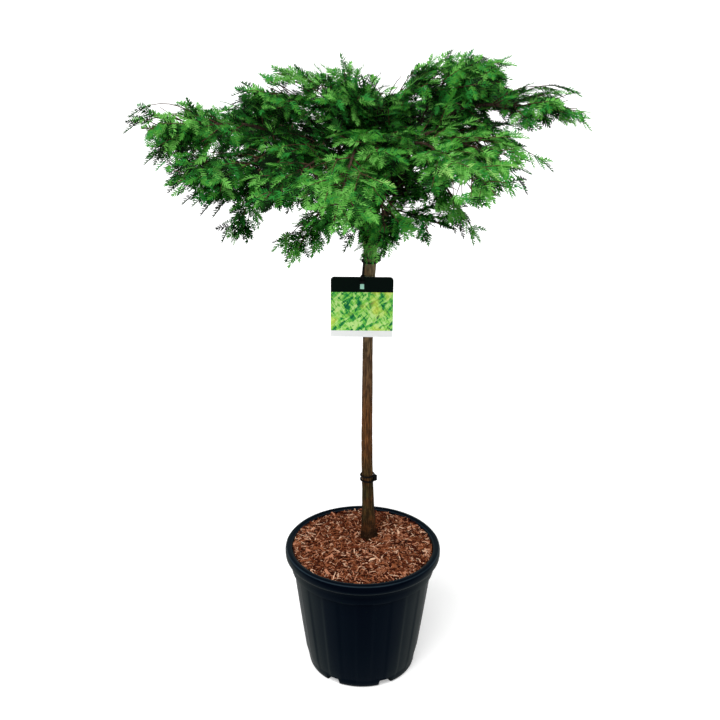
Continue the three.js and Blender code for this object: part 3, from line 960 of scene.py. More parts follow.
@dataclass(frozen=True)
class Growth:
    """Named measures of the boughs and of the masses at their tips, as in the solids."""

    axis: Pair = (9.5, 38.0)
    tip_share: float = 0.5
    thinnest: float = 1.7
    side_girth: float = 0.74
    lean: float = 0.55
    pull: float = 0.42
    level: float = 0.34
    stem_tip: float = 1.5
    stem_share: float = 0.72
    stem_sag: float = 0.05
    stalk_share: float = 0.42
    stalk_shortest: float = 16.0
    stalk_longest: float = 58.0
    joint: float = 0.6
    blade_longest: float = 104.0
    side_share: float = 0.8
    spacing: float = 35.0
    yaw: float = 50.0
    yaw_play: float = 14.0
    lift: float = 18.0
    lift_play: float = 14.0
    tip_play: float = 34.0
    roll_play: float = 84.0
    aside: float = -54.0
    first_pair: float = 0.55
    last_pair: float = 0.35


GROWTH = Growth()
UP = vec(0, 0, 1)


class Tint(Enum):
    """The greens that are dealt out by spray, as slots of the foliage's pieces."""

    SHADE = 0
    DEEP = 1
    COOL = 2
    LEAF = 3
    FRESH = 4
    LIME = 5


class Light(Enum):
    """How far a mass's greens shift to the bright ones, as painted light and shade by how the mass is lit,
    and its share of cool ones.
    """

    UNDER = (-0.16, 0.5)
    COOL = (-0.09, 0.5)
    OUTER = (-0.07, 0.3)
    TOP = (0.0, 0.25)
    SUNNY = (0.05, 0.14)


class Region(Enum):
    """The pieces into which the foliage is joined."""

    LEFT = "left"
    RIGHT = "right"
    TOP = "top"
    FRONT = "front"
    MIDDLE = "middle"
    BACK = "back"
    HANGING = "hanging"


@dataclass
class Limb:
    """A bough and the mass at its tip, whose stem runs on from the bough's own tip."""

    name: str
    az: float
    reach: float
    height: float
    pitch: float
    mass: Triple
    source: str
    at: float
    region: Region
    light: Light
    rise: float = 0.0
    girth: float = 0.0
    tip_radius: float = 0.0
    index: int = 0
    parent: Limb | None = None
    curve: Bezier | None = None
    stem: Bezier | None = None
    tip: Array | None = None
    end: Array | None = None
    space: Space | None = None

    @property
    def open(self) -> bool:
        """Says whether its mass has only its leaders, with the light between them."""
        return self.name in ("hang_left", "hang_front_left", "hang_right")

    @property
    def droop(self) -> float:
        """Returns how far its shoots sag, as a share of their length."""
        drooping = {Region.HANGING: 0.2, Region.FRONT: 0.14, Region.MIDDLE: 0.08, Region.BACK: 0.08}
        return drooping.get(self.region, 0.02)

    def radius(self, share: float) -> float:
        """Returns the bough's radius at a share of its length."""
        return self.girth + (self.tip_radius - self.girth) * share

    def plan(self, parent: Limb | None) -> None:
        """Works out the bough, its mass's stem and its space from what it leaves.

        Args:
            parent: The bough that it leaves, or nothing for the trunk.
        """
        across, back = GROWTH.axis
        self.parent = parent
        root = parent.curve.at(self.at) if parent else vec(across, back, self.at)
        self.tip = vec(across, back, self.height) + self.reach * heading(self.az, 0)
        self.end = heading(self.az, self.pitch)
        chord = float(np.linalg.norm(self.tip - root))
        if parent:
            along = parent.curve.tangent(self.at)
            launch = unit(self.tip - root)
            launch = unit(launch - GROWTH.lean * float(launch @ along) * along)
            self.girth = GROWTH.side_girth * parent.radius(self.at)
        else:
            launch = heading(self.az, self.rise)
        launched, levelled = launch * (GROWTH.pull * chord), self.end * (GROWTH.level * chord)
        self.curve = Bezier(root, root + launched, self.tip - levelled, self.tip)
        self.tip_radius = max(self.girth * GROWTH.tip_share, GROWTH.thinnest)
        length = GROWTH.stem_share * self.mass[0]
        down = vec(0, 0, -GROWTH.stem_sag * length)
        middle, end = self.tip + self.end * length / 2, self.tip + self.end * length + down
        self.stem = Bezier(self.tip, middle, end)
        self.space = Space.around(self)


@dataclass
class Space:
    """A mass's own space: an ellipsoid from the bough's tip outwards, cut by walls to its neighbours."""

    centre: Array
    axes: Array
    half: Array
    walls: list[tuple[Array, Array]] = field(default_factory=list)

    @classmethod
    def around(cls, limb: Limb) -> Space:
        """Works out the space at a limb's tip.

        Args:
            limb: The limb.

        Returns:
            Its space, with no walls yet.
        """
        length, width, thick = limb.mass
        side = heading(limb.az + 90, 0)
        axes = np.array((limb.end, side, np.cross(limb.end, side)))
        return cls(limb.tip + limb.end * length / 2, axes, np.array((length, width, thick)) / 2)

    def radius_towards(self, direction: Array) -> float:
        """Returns how far the surface is from the centre in a direction."""
        return 1 / float(np.linalg.norm(self.axes @ direction / self.half))

    def meet(self, other: Space) -> None:
        """Sets a flat wall towards a neighbour, between the centres by their sizes.

        Args:
            other: The neighbour's space.
        """
        away = other.centre - self.centre
        distance = float(np.linalg.norm(away))
        away = away / distance
        mine, theirs = self.radius_towards(away), other.radius_towards(away)
        if mine + theirs >= 0.7 * distance:
            self.walls.append((away, self.centre + away * (distance * mine / (mine + theirs))))

    def holds(self, point: Array, slack: float = 0.0) -> bool:
        """Says whether a point is inside.

        Args:
            point: The point.
            slack: How far outside still counts, in millimetres.

        Returns:
            Whether it is.
        """
        off = self.axes @ (point - self.centre)
        if float(np.linalg.norm(off / (self.half + slack))) > 1:
            return False
        return all(float((point - foot) @ away) < slack for away, foot in self.walls)

    def outside(self, point: Array) -> Array:
        """Returns the level way out of the space at a point."""
        way = self.axes.T @ (self.axes @ (point - self.centre) / self.half**2)
        return unit(vec(way[0], way[1], 0) + vec(1e-6, 0, 0))

    def room(self, point: Array, direction: Array) -> float:
        """Works out how far it is from a point to the ellipsoid's surface.

        Args:
            point: The point.
            direction: The unit direction.

        Returns:
            The distance in millimetres.
        """
        start = self.axes @ (point - self.centre) / self.half
        along = self.axes @ direction / self.half
        a, b, c = float(along @ along), float(start @ along), float(start @ start) - 1
        return max(0.0, (-b + math.sqrt(max(b * b - a * c, 0.0))) / a)


def limb_table() -> list[Limb]:
    """Lists every limb with its own measures, in the order in which they grow.

    Returns:
        The limbs.
    """
    left, right, top = Region.LEFT, Region.RIGHT, Region.TOP
    front, middle, back, hanging = Region.FRONT, Region.MIDDLE, Region.BACK, Region.HANGING
    under, cool, outer, high, sunny = Light.UNDER, Light.COOL, Light.OUTER, Light.TOP, Light.SUNNY
    return [
        Limb("left_tip", 189, 248, 1147, 2, (194, 195, 100), "trunk", 942, left, outer, 44, 5.2),
        Limb("right_tip", 348, 200, 1186, 3, (198, 152, 86), "trunk", 940, right, outer, 50, 5.4),
        Limb("top_right", 358, 44, 1190, 15, (222, 184, 130), "trunk", 956, top, high, 58, 4.6),
        Limb("top_left", 180, 72, 1174, 6, (178, 166, 115), "trunk", 954, top, high, 58, 4.4),
        Limb("top_middle", 211, 29, 1109, 58, (163, 201, 188), "trunk", 974, top, high, 84, 4.2),
        Limb("front", 259, 162, 1132, -20, (208, 206, 118), "trunk", 936, front, sunny, 50, 4.8),
        Limb("back", 95, 167, 1095, 9, (210, 188, 122), "trunk", 938, back, outer, 42, 5),
        Limb("left_low", 208, 199, 1100, -3, (209, 194, 122), "trunk", 926, left, cool, 38, 4.8),
        Limb("right_low", 317, 165, 1150, -8, (184, 192, 90), "trunk", 926, right, sunny, 44, 4.6),
        Limb("front_right", 301, 189, 1142, -6, (228, 186, 88), "trunk", 952, front, sunny, 54, 4.4),
        Limb("back_left", 133, 209, 1083, 7, (216, 204, 105), "trunk", 952, back, outer, 46, 4.6),
        Limb("back_right", 57, 167, 1109, 1, (212, 209, 102), "trunk", 952, back, outer, 50, 4.6),
        Limb("under_right", 330, 58, 986, -5, (116, 116, 82), "trunk", 910, hanging, sunny, 34, 3),
        Limb("left_back", 158, 223, 1102, -3, (207, 196, 86), "left_tip", 0.42, left, outer),
        Limb("right_back", 26, 143, 1173, 2, (181, 162, 117), "right_tip", 0.4, right, outer),
        Limb("mid_right", 333, 97, 1137, 2, (204, 177, 93), "top_right", 0.42, middle, sunny),
        Limb("mid_left", 205, 88, 1112, 0, (176, 195, 96), "left_low", 0.4, middle, cool),
        Limb("mid_front", 272, 65, 1120, 13, (168, 197, 112), "top_middle", 0.4, middle, sunny),
        Limb("front_left", 235, 173, 1109, -10, (172, 170, 82), "front", 0.36, front, cool),
        Limb("top_back", 72, 34, 1095, 22, (159, 186, 107), "top_middle", 0.3, middle, high),
        Limb("hang_left", 199, 220, 1048, -66, (118, 90, 68), "left_low", 0.74, hanging, outer),
        Limb("hang_front_left", 236, 124, 1046, -35, (160, 100, 68), "front_left", 0.34, hanging, sunny),
        Limb("hang_front", 278, 101, 1054, -45, (112, 166, 87), "front", 0.3, hanging, sunny),
        Limb("hang_right", 327, 129, 1086, -53, (126, 92, 68), "right_low", 0.62, hanging, sunny),
        Limb("hang_back", 72, 133, 1034, -43, (142, 132, 80), "back", 0.4, hanging, under),
    ]


@dataclass(frozen=True)
class Sprig:
    """One shoot that stands out of the crown's outline.

    Its share is a place on the limb's bough up to 1, and on its stem from there on to 2. Its end is in
    millimetres, its arch says how far it bows up, as a share of its length, and lit says how far its
    greens shift to the bright ones, as painted light.
    """

    share: float
    x: float
    y: float
    z: float
    arch: float
    # Painted light: how far this sprig's greens shift to the bright ones.
    lit: float = 0.0


# A sixth number in a row is the painted light of that sprig's greens.
SPRIGS = {
    "left_tip": (
        (1.55, -422, -34, 1156, 0.1), (1.35, -412, -20, 1185, 0.14), (1.7, -403, -60, 1145, 0.04),
        (1.1, -377, -80, 1122, 0.06), (1.25, -382, -70, 1104, 0.02), (1.1, -360, -85, 1098, 0.02),
        (0.95, -331, -90, 1099, 0.02), (0.8, -222, -10, 1098, 0.02), (1.4, -392, -40, 1174, 0.06),
        (1.2, -383, -30, 1170, 0.08), (0.6, -227, 10, 1169, 0.06),
    ),
    "left_low": (
        (1.45, -372, -90, 1086, 0.06), (1.3, -357, -110, 1074, 0.04), (1.1, -310, -60, 1100, 0.08),
        (0.9, -229, -70, 1035, 0.0), (1.0, -214, -60, 1043, 0.0), (0.85, -233, -20, 1097, 0.06),
        (0.8, -219, -30, 1086, 0.04), (0.75, -206, -60, 1050, 0.02), (1.3, -315, -100, 1039, 0.0),
        (1.1, -286, -90, 1018, 0.0), (1.0, -265, -90, 1015, 0.0), (0.9, -278, -90, 1033, 0.0),
        (0.8, -257, -80, 1025, 0.0), (1.1, -299, -90, 1033, 0.0), (0.7, -245, -70, 1031, 0.0),
    ),
    "right_tip": (
        (1.5, 396, -10, 1161, 0.1), (1.25, 372, 10, 1219, 0.12), (1.1, 342, 20, 1215, 0.12),
        (0.6, 248, 30, 1144, 0.0), (0.7, 253, 20, 1150, 0.02), (0.5, 225, 20, 1135, 0.0),
        (0.9, 267, 84, 1165, 0.04),
    ),
    "mid_right": (
        (1.5, 322, -70, 1101, 0.08), (0.2, 36, -20, 1200, 0.04),
    ),
    "right_low": (
        (1.4, 277, -120, 1074, 0.08), (1.5, 236, -160, 1062, 0.04), (0.5, 81, -60, 1020, 0.0),
        (0.6, 113, -60, 1028, 0.0), (0.7, 137, -60, 1035, 0.0), (0.8, 158, -60, 1046, 0.02),
    ),
    "hang_right": (
        (1.3, 201, -60, 960, 0.0), (1.0, 186, -60, 979, 0.0), (0.9, 103, -40, 1021, 0.04),
        (1.2, 149, -60, 1006, 0.02, 0.25), (1.1, 164, -60, 991, 0.02), (1.4, 194, -60, 957, 0.02),
        (1.2, 174, -60, 970, 0.0), (1.0, 159, -60, 980, 0.0),
    ),
    "hang_left": (
        (1.4, -258, -50, 955, 0.0), (1.2, -217, -50, 953, 0.0), (1.0, -241, -50, 983, 0.0),
    ),
    "hang_front_left": (
        (1.3, -156, -150, 969, 0.0), (1.5, -132, -150, 944, 0.0), (1.1, -84, -130, 993, 0.0),
        (1.0, -67, -120, 979, 0.0), (1.3, -115, -140, 967, 0.0), (1.4, -136, -150, 955, 0.0),
        (1.2, -94, -140, 960, 0.0),
    ),
    "hang_front": (
        (1.3, 32, -110, 953, 0.0), (1.2, -36, -110, 960, 0.0), (0.7, -3, 4, 895, 0.02, 0.2),
        (0.85, 10, 4, 897, 0.02, 0.2), (0.95, 26, 0, 905, 0.02, 0.2), (1.05, 46, -8, 915, 0.02, 0.2),
        (0.8, 0, -2, 913, 0.02, 0.2), (0.9, 19, -5, 904, 0.02, 0.2), (1.0, 34, 0, 912, 0.02, 0.2),
    ),
    "top_right": (
        (0.8, 64, 20, 1228, 0.04), (0.9, 68, 10, 1248, 0.06), (1.0, 91, 0, 1258, 0.06),
        (1.15, 116, 20, 1268, 0.06), (1.2, 149, 20, 1274, 0.1), (1.5, 187, 30, 1273, 0.1),
        (1.8, 252, 40, 1262, 0.1), (0.5, 71, -10, 1209, 0.04), (0.6, 84, -10, 1237, 0.06),
        (0.6, 99, 10, 1250, 0.08), (0.7, 116, 10, 1251, 0.08), (0.8, 132, 10, 1258, 0.08),
        (1.5, 211, 20, 1265, 0.1), (1.6, 228, 20, 1255, 0.08), (1.8, 244, 20, 1239, 0.06),
        (1.4, 234, 30, 1244, 0.06),
    ),
    "top_left": (
        (0.7, -111, 20, 1228, 0.06), (0.82, -132, 10, 1243, 0.06), (0.95, -151, 10, 1246, 0.06),
        (1.15, -175, 0, 1249, 0.06), (1.4, -201, 0, 1235, 0.06), (1.7, -227, -20, 1215, 0.06),
        (1.0, -163, 20, 1200, 0.04), (0.9, -138, 20, 1197, 0.04), (1.2, -188, 20, 1196, 0.04),
        (1.3, -215, 10, 1202, 0.06), (1.5, -230, 10, 1191, 0.04),
    ),
    "top_middle": (
        (1.4, -42, -10, 1262, 0.06), (1.2, -66, -10, 1254, 0.1), (1.3, -17, -20, 1255, 0.1),
        (1.0, 11, -20, 1243, 0.1), (0.9, 32, -20, 1227, 0.12), (1.1, -85, 0, 1243, 0.1),
        (0.8, -10, -10, 1222, 0.04), (1.1, -33, -10, 1252, 0.08), (1.0, -19, -10, 1245, 0.08),
        (0.9, -5, -10, 1234, 0.08), (0.8, 9, -15, 1222, 0.08), (0.6, 24, -15, 1206, 0.06),
        (0.7, 18, -10, 1215, 0.06),
    ),
    "left_back": (
        (1.0, -225, 90, 1076, 0.02), (1.1, -237, 60, 1091, 0.02), (1.1, -225, 190, 1098, 0.04),
        (0.8, -174, 176, 1095, 0.04),
    ),
    "under_right": (
        (1.0, 34, 10, 915, 0.0, 0.2), (1.1, 81, -10, 989, 0.02, 0.25), (1.2, 104, -20, 1000, 0.02, 0.25),
        (1.3, 125, -30, 1009, 0.03, 0.25), (1.0, 61, 0, 997, 0.02, 0.25),
    ),
    "top_back": (
        (0.8, -100, 90, 1137, 0.04), (1.0, -110, 80, 1154, 0.04), (1.1, -119, 70, 1119, 0.04),
    ),
    "mid_left": (
        (1.0, -92, 20, 1147, 0.04),
    ),
    "right_back": (
        (0.9, 263, 60, 1155, 0.02), (0.8, 155, 160, 1125, 0.04), (1.2, 225, 165, 1140, 0.04),
        (1.4, 285, 110, 1165, 0.04),
    ),
    "mid_front": (
        (0.6, -3, -20, 1228, 0.08),
    ),
    "back_left": (
        (1.3, -190, 245, 1090, 0.04), (1.0, -107, 276, 1092, 0.04),
    ),
    "back": (
        (0.8, -69, 233, 1090, 0.04), (1.2, -45, 300, 1098, 0.04), (1.0, 62, 287, 1108, 0.04),
    ),
    "back_right": (
        (0.7, 65, 230, 1100, 0.04), (1.3, 100, 290, 1108, 0.04), (0.9, 188, 199, 1130, 0.04),
    ),
}


@dataclass(frozen=True)
class Opening:
    """A round way through the crown that its sprays leave clear, seen from where one stands before it.

    Its place is on the crown's front, in millimetres across and up.
    """

    across: float
    height: float
    radius: float

    def near(self) -> Array:
        """Returns the middle of the way at the crown's front."""
        return vec(self.across, CROWN_FRONT, self.height)

    def along(self) -> Array:
        """Returns the unit direction of the way, from the eye on through the crown."""
        return unit(self.near() - vec(*EYE))


OPENINGS = tuple(Opening(*row) for row in (
    (139, 1117, 15), (159, 1121, 16), (196, 1238, 15), (178, 1192, 13), (24, 1271, 11), (27, 1080, 12),
    (-293, 1226, 13), (-330, 1222, 12), (114, 1291, 13), (-74, 1273, 12), (221, 1286, 13),
    (215, 1175, 13), (-244, 1174, 12), (-284, 1117, 11), (-166, 1286, 12), (-108, 1280, 12),
    (159, 1086, 12), (-81, 1074, 12), (35, 1102, 12), (238, 1299, 15), (256, 1299, 16), (277, 1299, 17),
    (299, 1293, 14), (304, 1264, 12), (323, 1258, 17), (269, 1204, 11), (292, 1214, 17), (253, 1190, 15),
    (234, 1149, 11), (214, 1107, 13), (-222, 1076, 12), (-187, 1076, 12), (-145, 1078, 15),
    (-112, 1080, 15), (-118, 1050, 13), (-355, 1203, 17), (-321, 1247, 17), (-303, 1251, 19),
    (-327, 1139, 15), (108, 1051, 17), (124, 1041, 17), (48, 1285, 16), (189, 1083, 14), (195, 1058, 17),
    (165, 1063, 10), (102, 1344, 15), (-200, 1288, 13), (-184, 1298, 13), (-153, 1316, 13),
    (-126, 1318, 11), (-105, 1315, 11), (-154, 1277, 11), (-137, 1277, 13), (-122, 1275, 12),
    (48, 1306, 17),
))


# ---- Foliage ----


@dataclass(frozen=True)
class Spray:
    """A feathery spray: a thin rachis with two opposite rows of flat needles."""

    length: float
    pairs: int
    droop: float
    seed: int
    needle: float = 12.6
    width: float = 2.7
    fold: float = 0.12
    fold_play: float = 0.3
    rachis: Triple = (0.9, 0.75, 0.4)
    first: float = 0.02
    spread: float = 60.0
    closing: float = 26.0
    spread_play: float = 16.0
    end_share: float = 0.7

    def shape(self) -> tuple[Array, Array, Array]:
        """Works out the spray along +X, with its needles spread towards +Y and -Y.

        Returns:
            Its vertices, its triangles, and each triangle's step from the spray's own green.
        """
        random = RandomStream(self.seed)
        pile = Pile()
        steps = [0]
        places = np.linspace(0, self.length * 0.95, len(self.rachis))
        path = np.stack((places, np.zeros(len(places)), self.sag(places)), 1)
        pile.add(*tube(path, np.array(self.rachis), 3))
        for pair in range(self.pairs):
            share = (pair + 0.5) / self.pairs
            place = self.first * self.length + 0.9 * self.length * share
            swell = 0.62 + 0.38 * math.sin(math.pi * min(1.0, 0.12 + 0.9 * share) ** 0.9)
            for side in (1, -1):
                reach = self.needle * swell * (1 + random.play(0.2))
                spread = self.spread - self.closing * share**1.6 + random.play(self.spread_play)
                root = vec(place + random.play(1.2), -1.2 * side, self.sag(place))
                fold = self.fold + random.play(self.fold_play)
                self.lay(pile, root, reach, side * math.radians(spread), fold)
                steps.append(-1 if random.number() > 0.4 + 0.5 * share else 0)
        end = vec(self.length * 0.9, 0, -self.droop * self.length * 0.8)
        self.lay(pile, end, self.end_share * self.needle, random.play(self.fold_play), -0.1)
        steps.append(0)
        each = [np.full(len(faces), step) for faces, step in zip(pile.faces, steps)]
        return np.concatenate(pile.points), np.concatenate(pile.faces), np.concatenate(each)

    def sag(self, place: float | Array) -> float | Array:
        """Returns how high the rachis lies at a place on it, which is below its foot."""
        return -self.droop * place**2 / self.length

    def lay(self, pile: Pile, root: Array, reach: float, angle: float, lift: float) -> None:
        """Lays one needle: a narrow blade with a ridge, closed underneath.

        Args:
            pile: Where it goes.
            root: Where it leaves the rachis.
            reach: Its length.
            angle: Its angle to the rachis in radians, towards +Y.
            lift: How far its middle stands up, in radians.
        """
        ahead = vec(math.cos(angle), math.sin(angle), 0)
        side = vec(-math.sin(angle), math.cos(angle), 0)
        rise = vec(0, 0, math.sin(lift))
        middle = root + (ahead + rise) * reach * 0.42
        edge, under = side * self.width / 2, vec(0, 0, 0.3)
        tip = root + (ahead + 0.55 * rise) * reach
        points = np.array((root, middle + edge - under, tip, middle - edge - under))
        faces = np.array(((0, 2, 1), (0, 3, 2), (0, 1, 3), (1, 2, 3)))
        pile.add(points, faces)


@dataclass(frozen=True)
class Twig:
    """One twig with what its sprays are worked out from.

    Its normal is its fan's upper side, and its sprays take their length from its own. Bare is the share
    at its foot without sprays, bounded says whether they keep to their mass's own space, and lit says
    how far their greens shift to the bright ones, as painted light.
    """

    limb: Limb
    path: Bezier
    normal: Array
    length: float
    bare: float
    bounded: bool
    # Painted light: how far the twig's greens shift to the bright ones.
    lit: float = 0.0


@dataclass(frozen=True)
class Placed:
    """One spray in its place: the number of its shape, its foot, its scaled axes and its green."""

    kind: int
    root: Array
    frame: Array
    tint: Tint


@dataclass
class Crown:
    """The crown: boughs in relief, twigs, and sprays of needles that grow by a seeded rule."""

    limbs: list[Limb] = field(default_factory=limb_table)
    kinds: tuple[Spray, ...] = (
        Spray(15, 4, 0.06, 40), Spray(20, 5, 0.0, 41), Spray(24, 6, 0.2, 42), Spray(24, 6, -0.06, 43),
        Spray(29, 7, 0.26, 44), Spray(34, 9, 0.1, 45),
    )
    bough_sides: int = 12
    bough_ring_gap: float = 4.5
    bough_ridge: float = 0.22
    collar_swell: float = 0.35
    collar_reach: float = 26.0
    stem_thinning: float = 0.7
    twig_sides: int = 5
    twig_ring_gap: float = 13.0
    twig_foot: float = 1.25
    twig_tip: float = 0.6
    shoot_shortest: float = 24.0
    shoot_end: float = 26.0
    clothed_from: float = 0.22
    clothed_share: float = 0.76
    clothed_gap: float = 18.0
    clothed_open_gap: float = 34.0
    clothed_turn: float = 2.4
    sprig_length: float = 50.0
    sprig_bare: float = 0.15
    sprig_end: float = 20.0
    spray_gap: float = 12.4
    spray_longest: float = 32.0
    spray_shortest: float = 15.0
    spray_share: float = 0.36
    spray_least: float = 16.0
    spray_slack: float = 3.0
    spray_scales: Pair = (0.72, 1.12)
    end_spray: float = 30.0
    to_light: Array = field(default_factory=lambda: vec(0, -0.3, 0.65))
    # These numbers deal painted light and shade into the sprays' greens.
    tone: float = 0.44
    tone_play: float = 0.6
    upper_tone: float = 0.13
    outer_tone: float = 0.25
    outer_reach: float = 330.0
    tone_steps: tuple[float, float, float, float] = (0.22, 0.42, 0.64, 0.86)
    placed: dict[Region, list[Placed]] = field(default_factory=lambda: {region: [] for region in Region})
    twigs: Pile = field(default_factory=Pile)
    boughs: Pile = field(default_factory=Pile)
    opening_at: Array | None = None
    opening_along: Array | None = None
    opening_radius: Array | None = None

    def plan(self) -> None:
        """Works out every limb, every space and the ways through the crown."""
        known: dict[str, Limb] = {}
        for index, limb in enumerate(self.limbs):
            limb.index = index
            limb.plan(known.get(limb.source))
            known[limb.name] = limb
        for limb in self.limbs:
            for other in self.limbs:
                if other is not limb:
                    limb.space.meet(other.space)
        self.opening_at = np.array([opening.near() for opening in OPENINGS])
        self.opening_along = np.array([opening.along() for opening in OPENINGS])
        self.opening_radius = np.array([opening.radius for opening in OPENINGS], float)

    def grow(self) -> None:
        """Grows every bough and mass, and then the sprigs."""
        for limb in self.limbs:
            self.grow_bough(limb)
            self.grow_mass(limb)
            self.clothe_bough(limb)
        known = {limb.name: limb for limb in self.limbs}
        for name, rows in SPRIGS.items():
            for row in rows:
                self.grow_sprig(known[name], Sprig(*row))

    def grow_bough(self, limb: Limb) -> None:
        """Grows one bough with the mass's stem on it, as one tapering limb in relief.

        Args:
            limb: The bough.
        """
        first = 0.0 if limb.parent is None else 0.02
        rings = max(6, round(limb.curve.length / self.bough_ring_gap))
        shares = np.linspace(first, 1, rings)
        swell = 1 + self.collar_swell * np.exp(-(shares * limb.curve.length / self.collar_reach) ** 2)
        radii = np.array([limb.radius(share) for share in shares]) * swell
        more = max(4, round(limb.stem.length / (self.bough_ring_gap * 1.3)))
        path = [limb.curve.at(share) for share in shares]
        path += [limb.stem.at(share) for share in np.linspace(0, 1, more + 1)[1:]]
        thinner = np.linspace(radii[-1], GROWTH.stem_tip * self.stem_thinning, more + 1)[1:]
        radii = np.concatenate((radii, thinner))
        relief = {"ridge": self.bough_ridge, "seed": limb.index * 3.7}
        self.boughs.add(*tube(np.array(path), radii, self.bough_sides, **relief))

    def grow_mass(self, limb: Limb) -> None:
        """Grows the shoots of one mass: the leaders that its solid has too, and finer ones between them.

        Args:
            limb: The limb that carries it.
        """
        random, finer = RandomStream(LEADER_SEED + limb.index), RandomStream(FINER_SEED + limb.index)
        pairs = max(2, round(limb.stem.length / GROWTH.spacing))
        gap = 1 / (pairs + GROWTH.last_pair)
        for pair in range(pairs):
            along = (pair + GROWTH.first_pair) / (pairs + GROWTH.last_pair)
            for side in (1, -1):
                high = pair % 2 == (side + 1) // 2
                yaw = side * (math.radians(GROWTH.yaw) + math.radians(random.play(GROWTH.yaw_play)))
                lift = math.radians(GROWTH.lift if high else -GROWTH.lift)
                lift += math.radians(random.play(GROWTH.lift_play))
                tip = math.radians(random.play(GROWTH.tip_play))
                roll = math.radians(random.play(GROWTH.roll_play))
                forks = pair < pairs - 1 and not limb.open
                self.grow_leader(limb, along, side, (yaw, lift, tip, roll * 0.4), forks)
                if not limb.open:
                    yaw = side * math.radians(GROWTH.yaw * (0.72 + finer.play(0.3)))
                    lift = -0.6 * lift + math.radians(finer.play(34))
                    tip, roll = math.radians(finer.play(20)), math.radians(finer.play(36))
                    self.grow_leader(limb, along + gap / 2, side, (yaw, lift, tip, roll), False)
        self.grow_end(limb, finer)

    def grow_leader(
        self, limb: Limb, along: float, side: int, bend: tuple[float, float, float, float], forks: bool
    ) -> None:
        """Grows one shoot from a mass's stem, and the side shoot on it.

        Args:
            limb: The limb that carries the mass.
            along: Where on the stem it leaves.
            side: 1 or -1.
            bend: Its yaw, lift, tip and roll in radians.
            forks: Whether a side shoot leaves it.
        """
        if along > 0.99:
            return
        yaw, lift, tip, roll = bend
        start, tangent = limb.stem.at(along), limb.stem.tangent(along)
        flat = limb.space.axes[1]
        above = unit(np.cross(tangent, flat))
        level = tangent * math.cos(yaw) + flat * math.sin(yaw)
        direction = pitched(level, above, lift)
        room = limb.space.room(start, direction)
        stalk = min(max(GROWTH.stalk_share * room, GROWTH.stalk_shortest), GROWTH.stalk_longest)
        length = min(0.97 * (room - stalk), GROWTH.blade_longest) + stalk
        self.grow_shoot(limb, start, direction, above, length, tip, roll, 0.16)
        if forks:
            aside_level = turned_about(level, above, side * math.radians(GROWTH.aside))
            aside = pitched(aside_level, above, lift)
            joint = start + direction * (GROWTH.joint * stalk)
            reach = GROWTH.side_share * min(0.97 * limb.space.room(joint, aside), GROWTH.blade_longest)
            self.grow_shoot(limb, joint, aside, above, reach, 0.0, -roll, 0.1)

    def grow_end(self, limb: Limb, random: RandomStream) -> None:
        """Grows the shoot at the end of a mass's stem.

        Args:
            limb: The limb that carries the mass.
            random: The stream that its roll is drawn from.
        """
        start, direction = limb.stem.at(0.96), limb.stem.tangent(1)
        above = unit(np.cross(direction, limb.space.axes[1]))
        reach = min(0.98 * limb.space.room(start, direction), GROWTH.blade_longest)
        self.grow_shoot(limb, start, direction, above, reach, 0.0, math.radians(random.play(30)), 0.05)

    def clothe_bough(self, limb: Limb) -> None:
        """Grows short shoots round the outer part of a bough.

        Args:
            limb: The bough.
        """
        random = RandomStream(BOUGH_SEED + limb.index)
        gap = self.clothed_open_gap if limb.open else self.clothed_gap
        count = round(limb.curve.length * self.clothed_share / gap)
        shortest = 40 if limb.region is Region.HANGING else 58
        for number in range(count):
            along = self.clothed_from + self.clothed_share * (number + 0.5) / count
            tangent = limb.curve.tangent(along)
            turn = self.clothed_turn * number + random.play(0.8)
            out = turned_about(unit(np.cross(UP, tangent)), tangent, turn)
            direction = unit(tangent * (0.55 + random.play(0.4)) + out)
            above = unit(np.cross(direction, np.cross(UP, direction)))
            length = shortest + 44 * random.number() * min(1.0, along + 0.3)
            start, roll = limb.curve.at(along), random.play(0.7)
            self.grow_shoot(limb, start, direction, above, length, 0.0, roll, 0.0, False)

    def grow_shoot(
        self, limb: Limb, start: Array, direction: Array, above: Array, length: float,
        tip: float, roll: float, bare: float, bounded: bool = True,
    ) -> None:
        """Grows one shoot: a thin curved twig with opposite sprays and one at its end.

        Args:
            limb: The limb that carries it.
            start: Where it leaves.
            direction: The way it sets off.
            above: Its mass's upper side.
            length: How far it reaches, its last spray included.
            tip: How far its outer part is tipped up, in radians.
            roll: How far its fan is rolled, in radians.
            bare: The share at its foot without sprays.
            bounded: Whether it keeps to its mass's own space.
        """
        if length < self.shoot_shortest:
            return
        across = turned_about(unit(np.cross(above, direction)), direction, roll)
        normal = np.cross(direction, across)
        twig = max(length - self.shoot_end, 10.0)
        sag = vec(0, 0, -limb.droop * twig) + normal * (math.sin(tip) * 0.3 * twig)
        path = Bezier(start, start + direction * twig * 0.5, start + direction * twig + sag)
        self.dress_twig(Twig(limb, path, normal, length, bare, bounded))

    def grow_sprig(self, limb: Limb, sprig: Sprig) -> None:
        """Grows one of the shoots that stand out, from its limb to its own end.

        Args:
            limb: The limb that it leaves.
            sprig: Its measures.
        """
        start = limb.curve.at(sprig.share) if sprig.share <= 1 else limb.stem.at(sprig.share - 1)
        chord = vec(sprig.x, sprig.y, sprig.z) - start
        length = float(np.linalg.norm(chord))
        along = chord / length
        end = start + along * max(length - self.sprig_end, 10)
        up = vec(0, -0.25, 1)
        normal = unit(up - along * float(up @ along))
        path = Bezier(start, (start + end) / 2 + vec(0, 0, sprig.arch * length * 2), end)
        self.dress_twig(Twig(limb, path, normal, self.sprig_length, self.sprig_bare, False, sprig.lit))

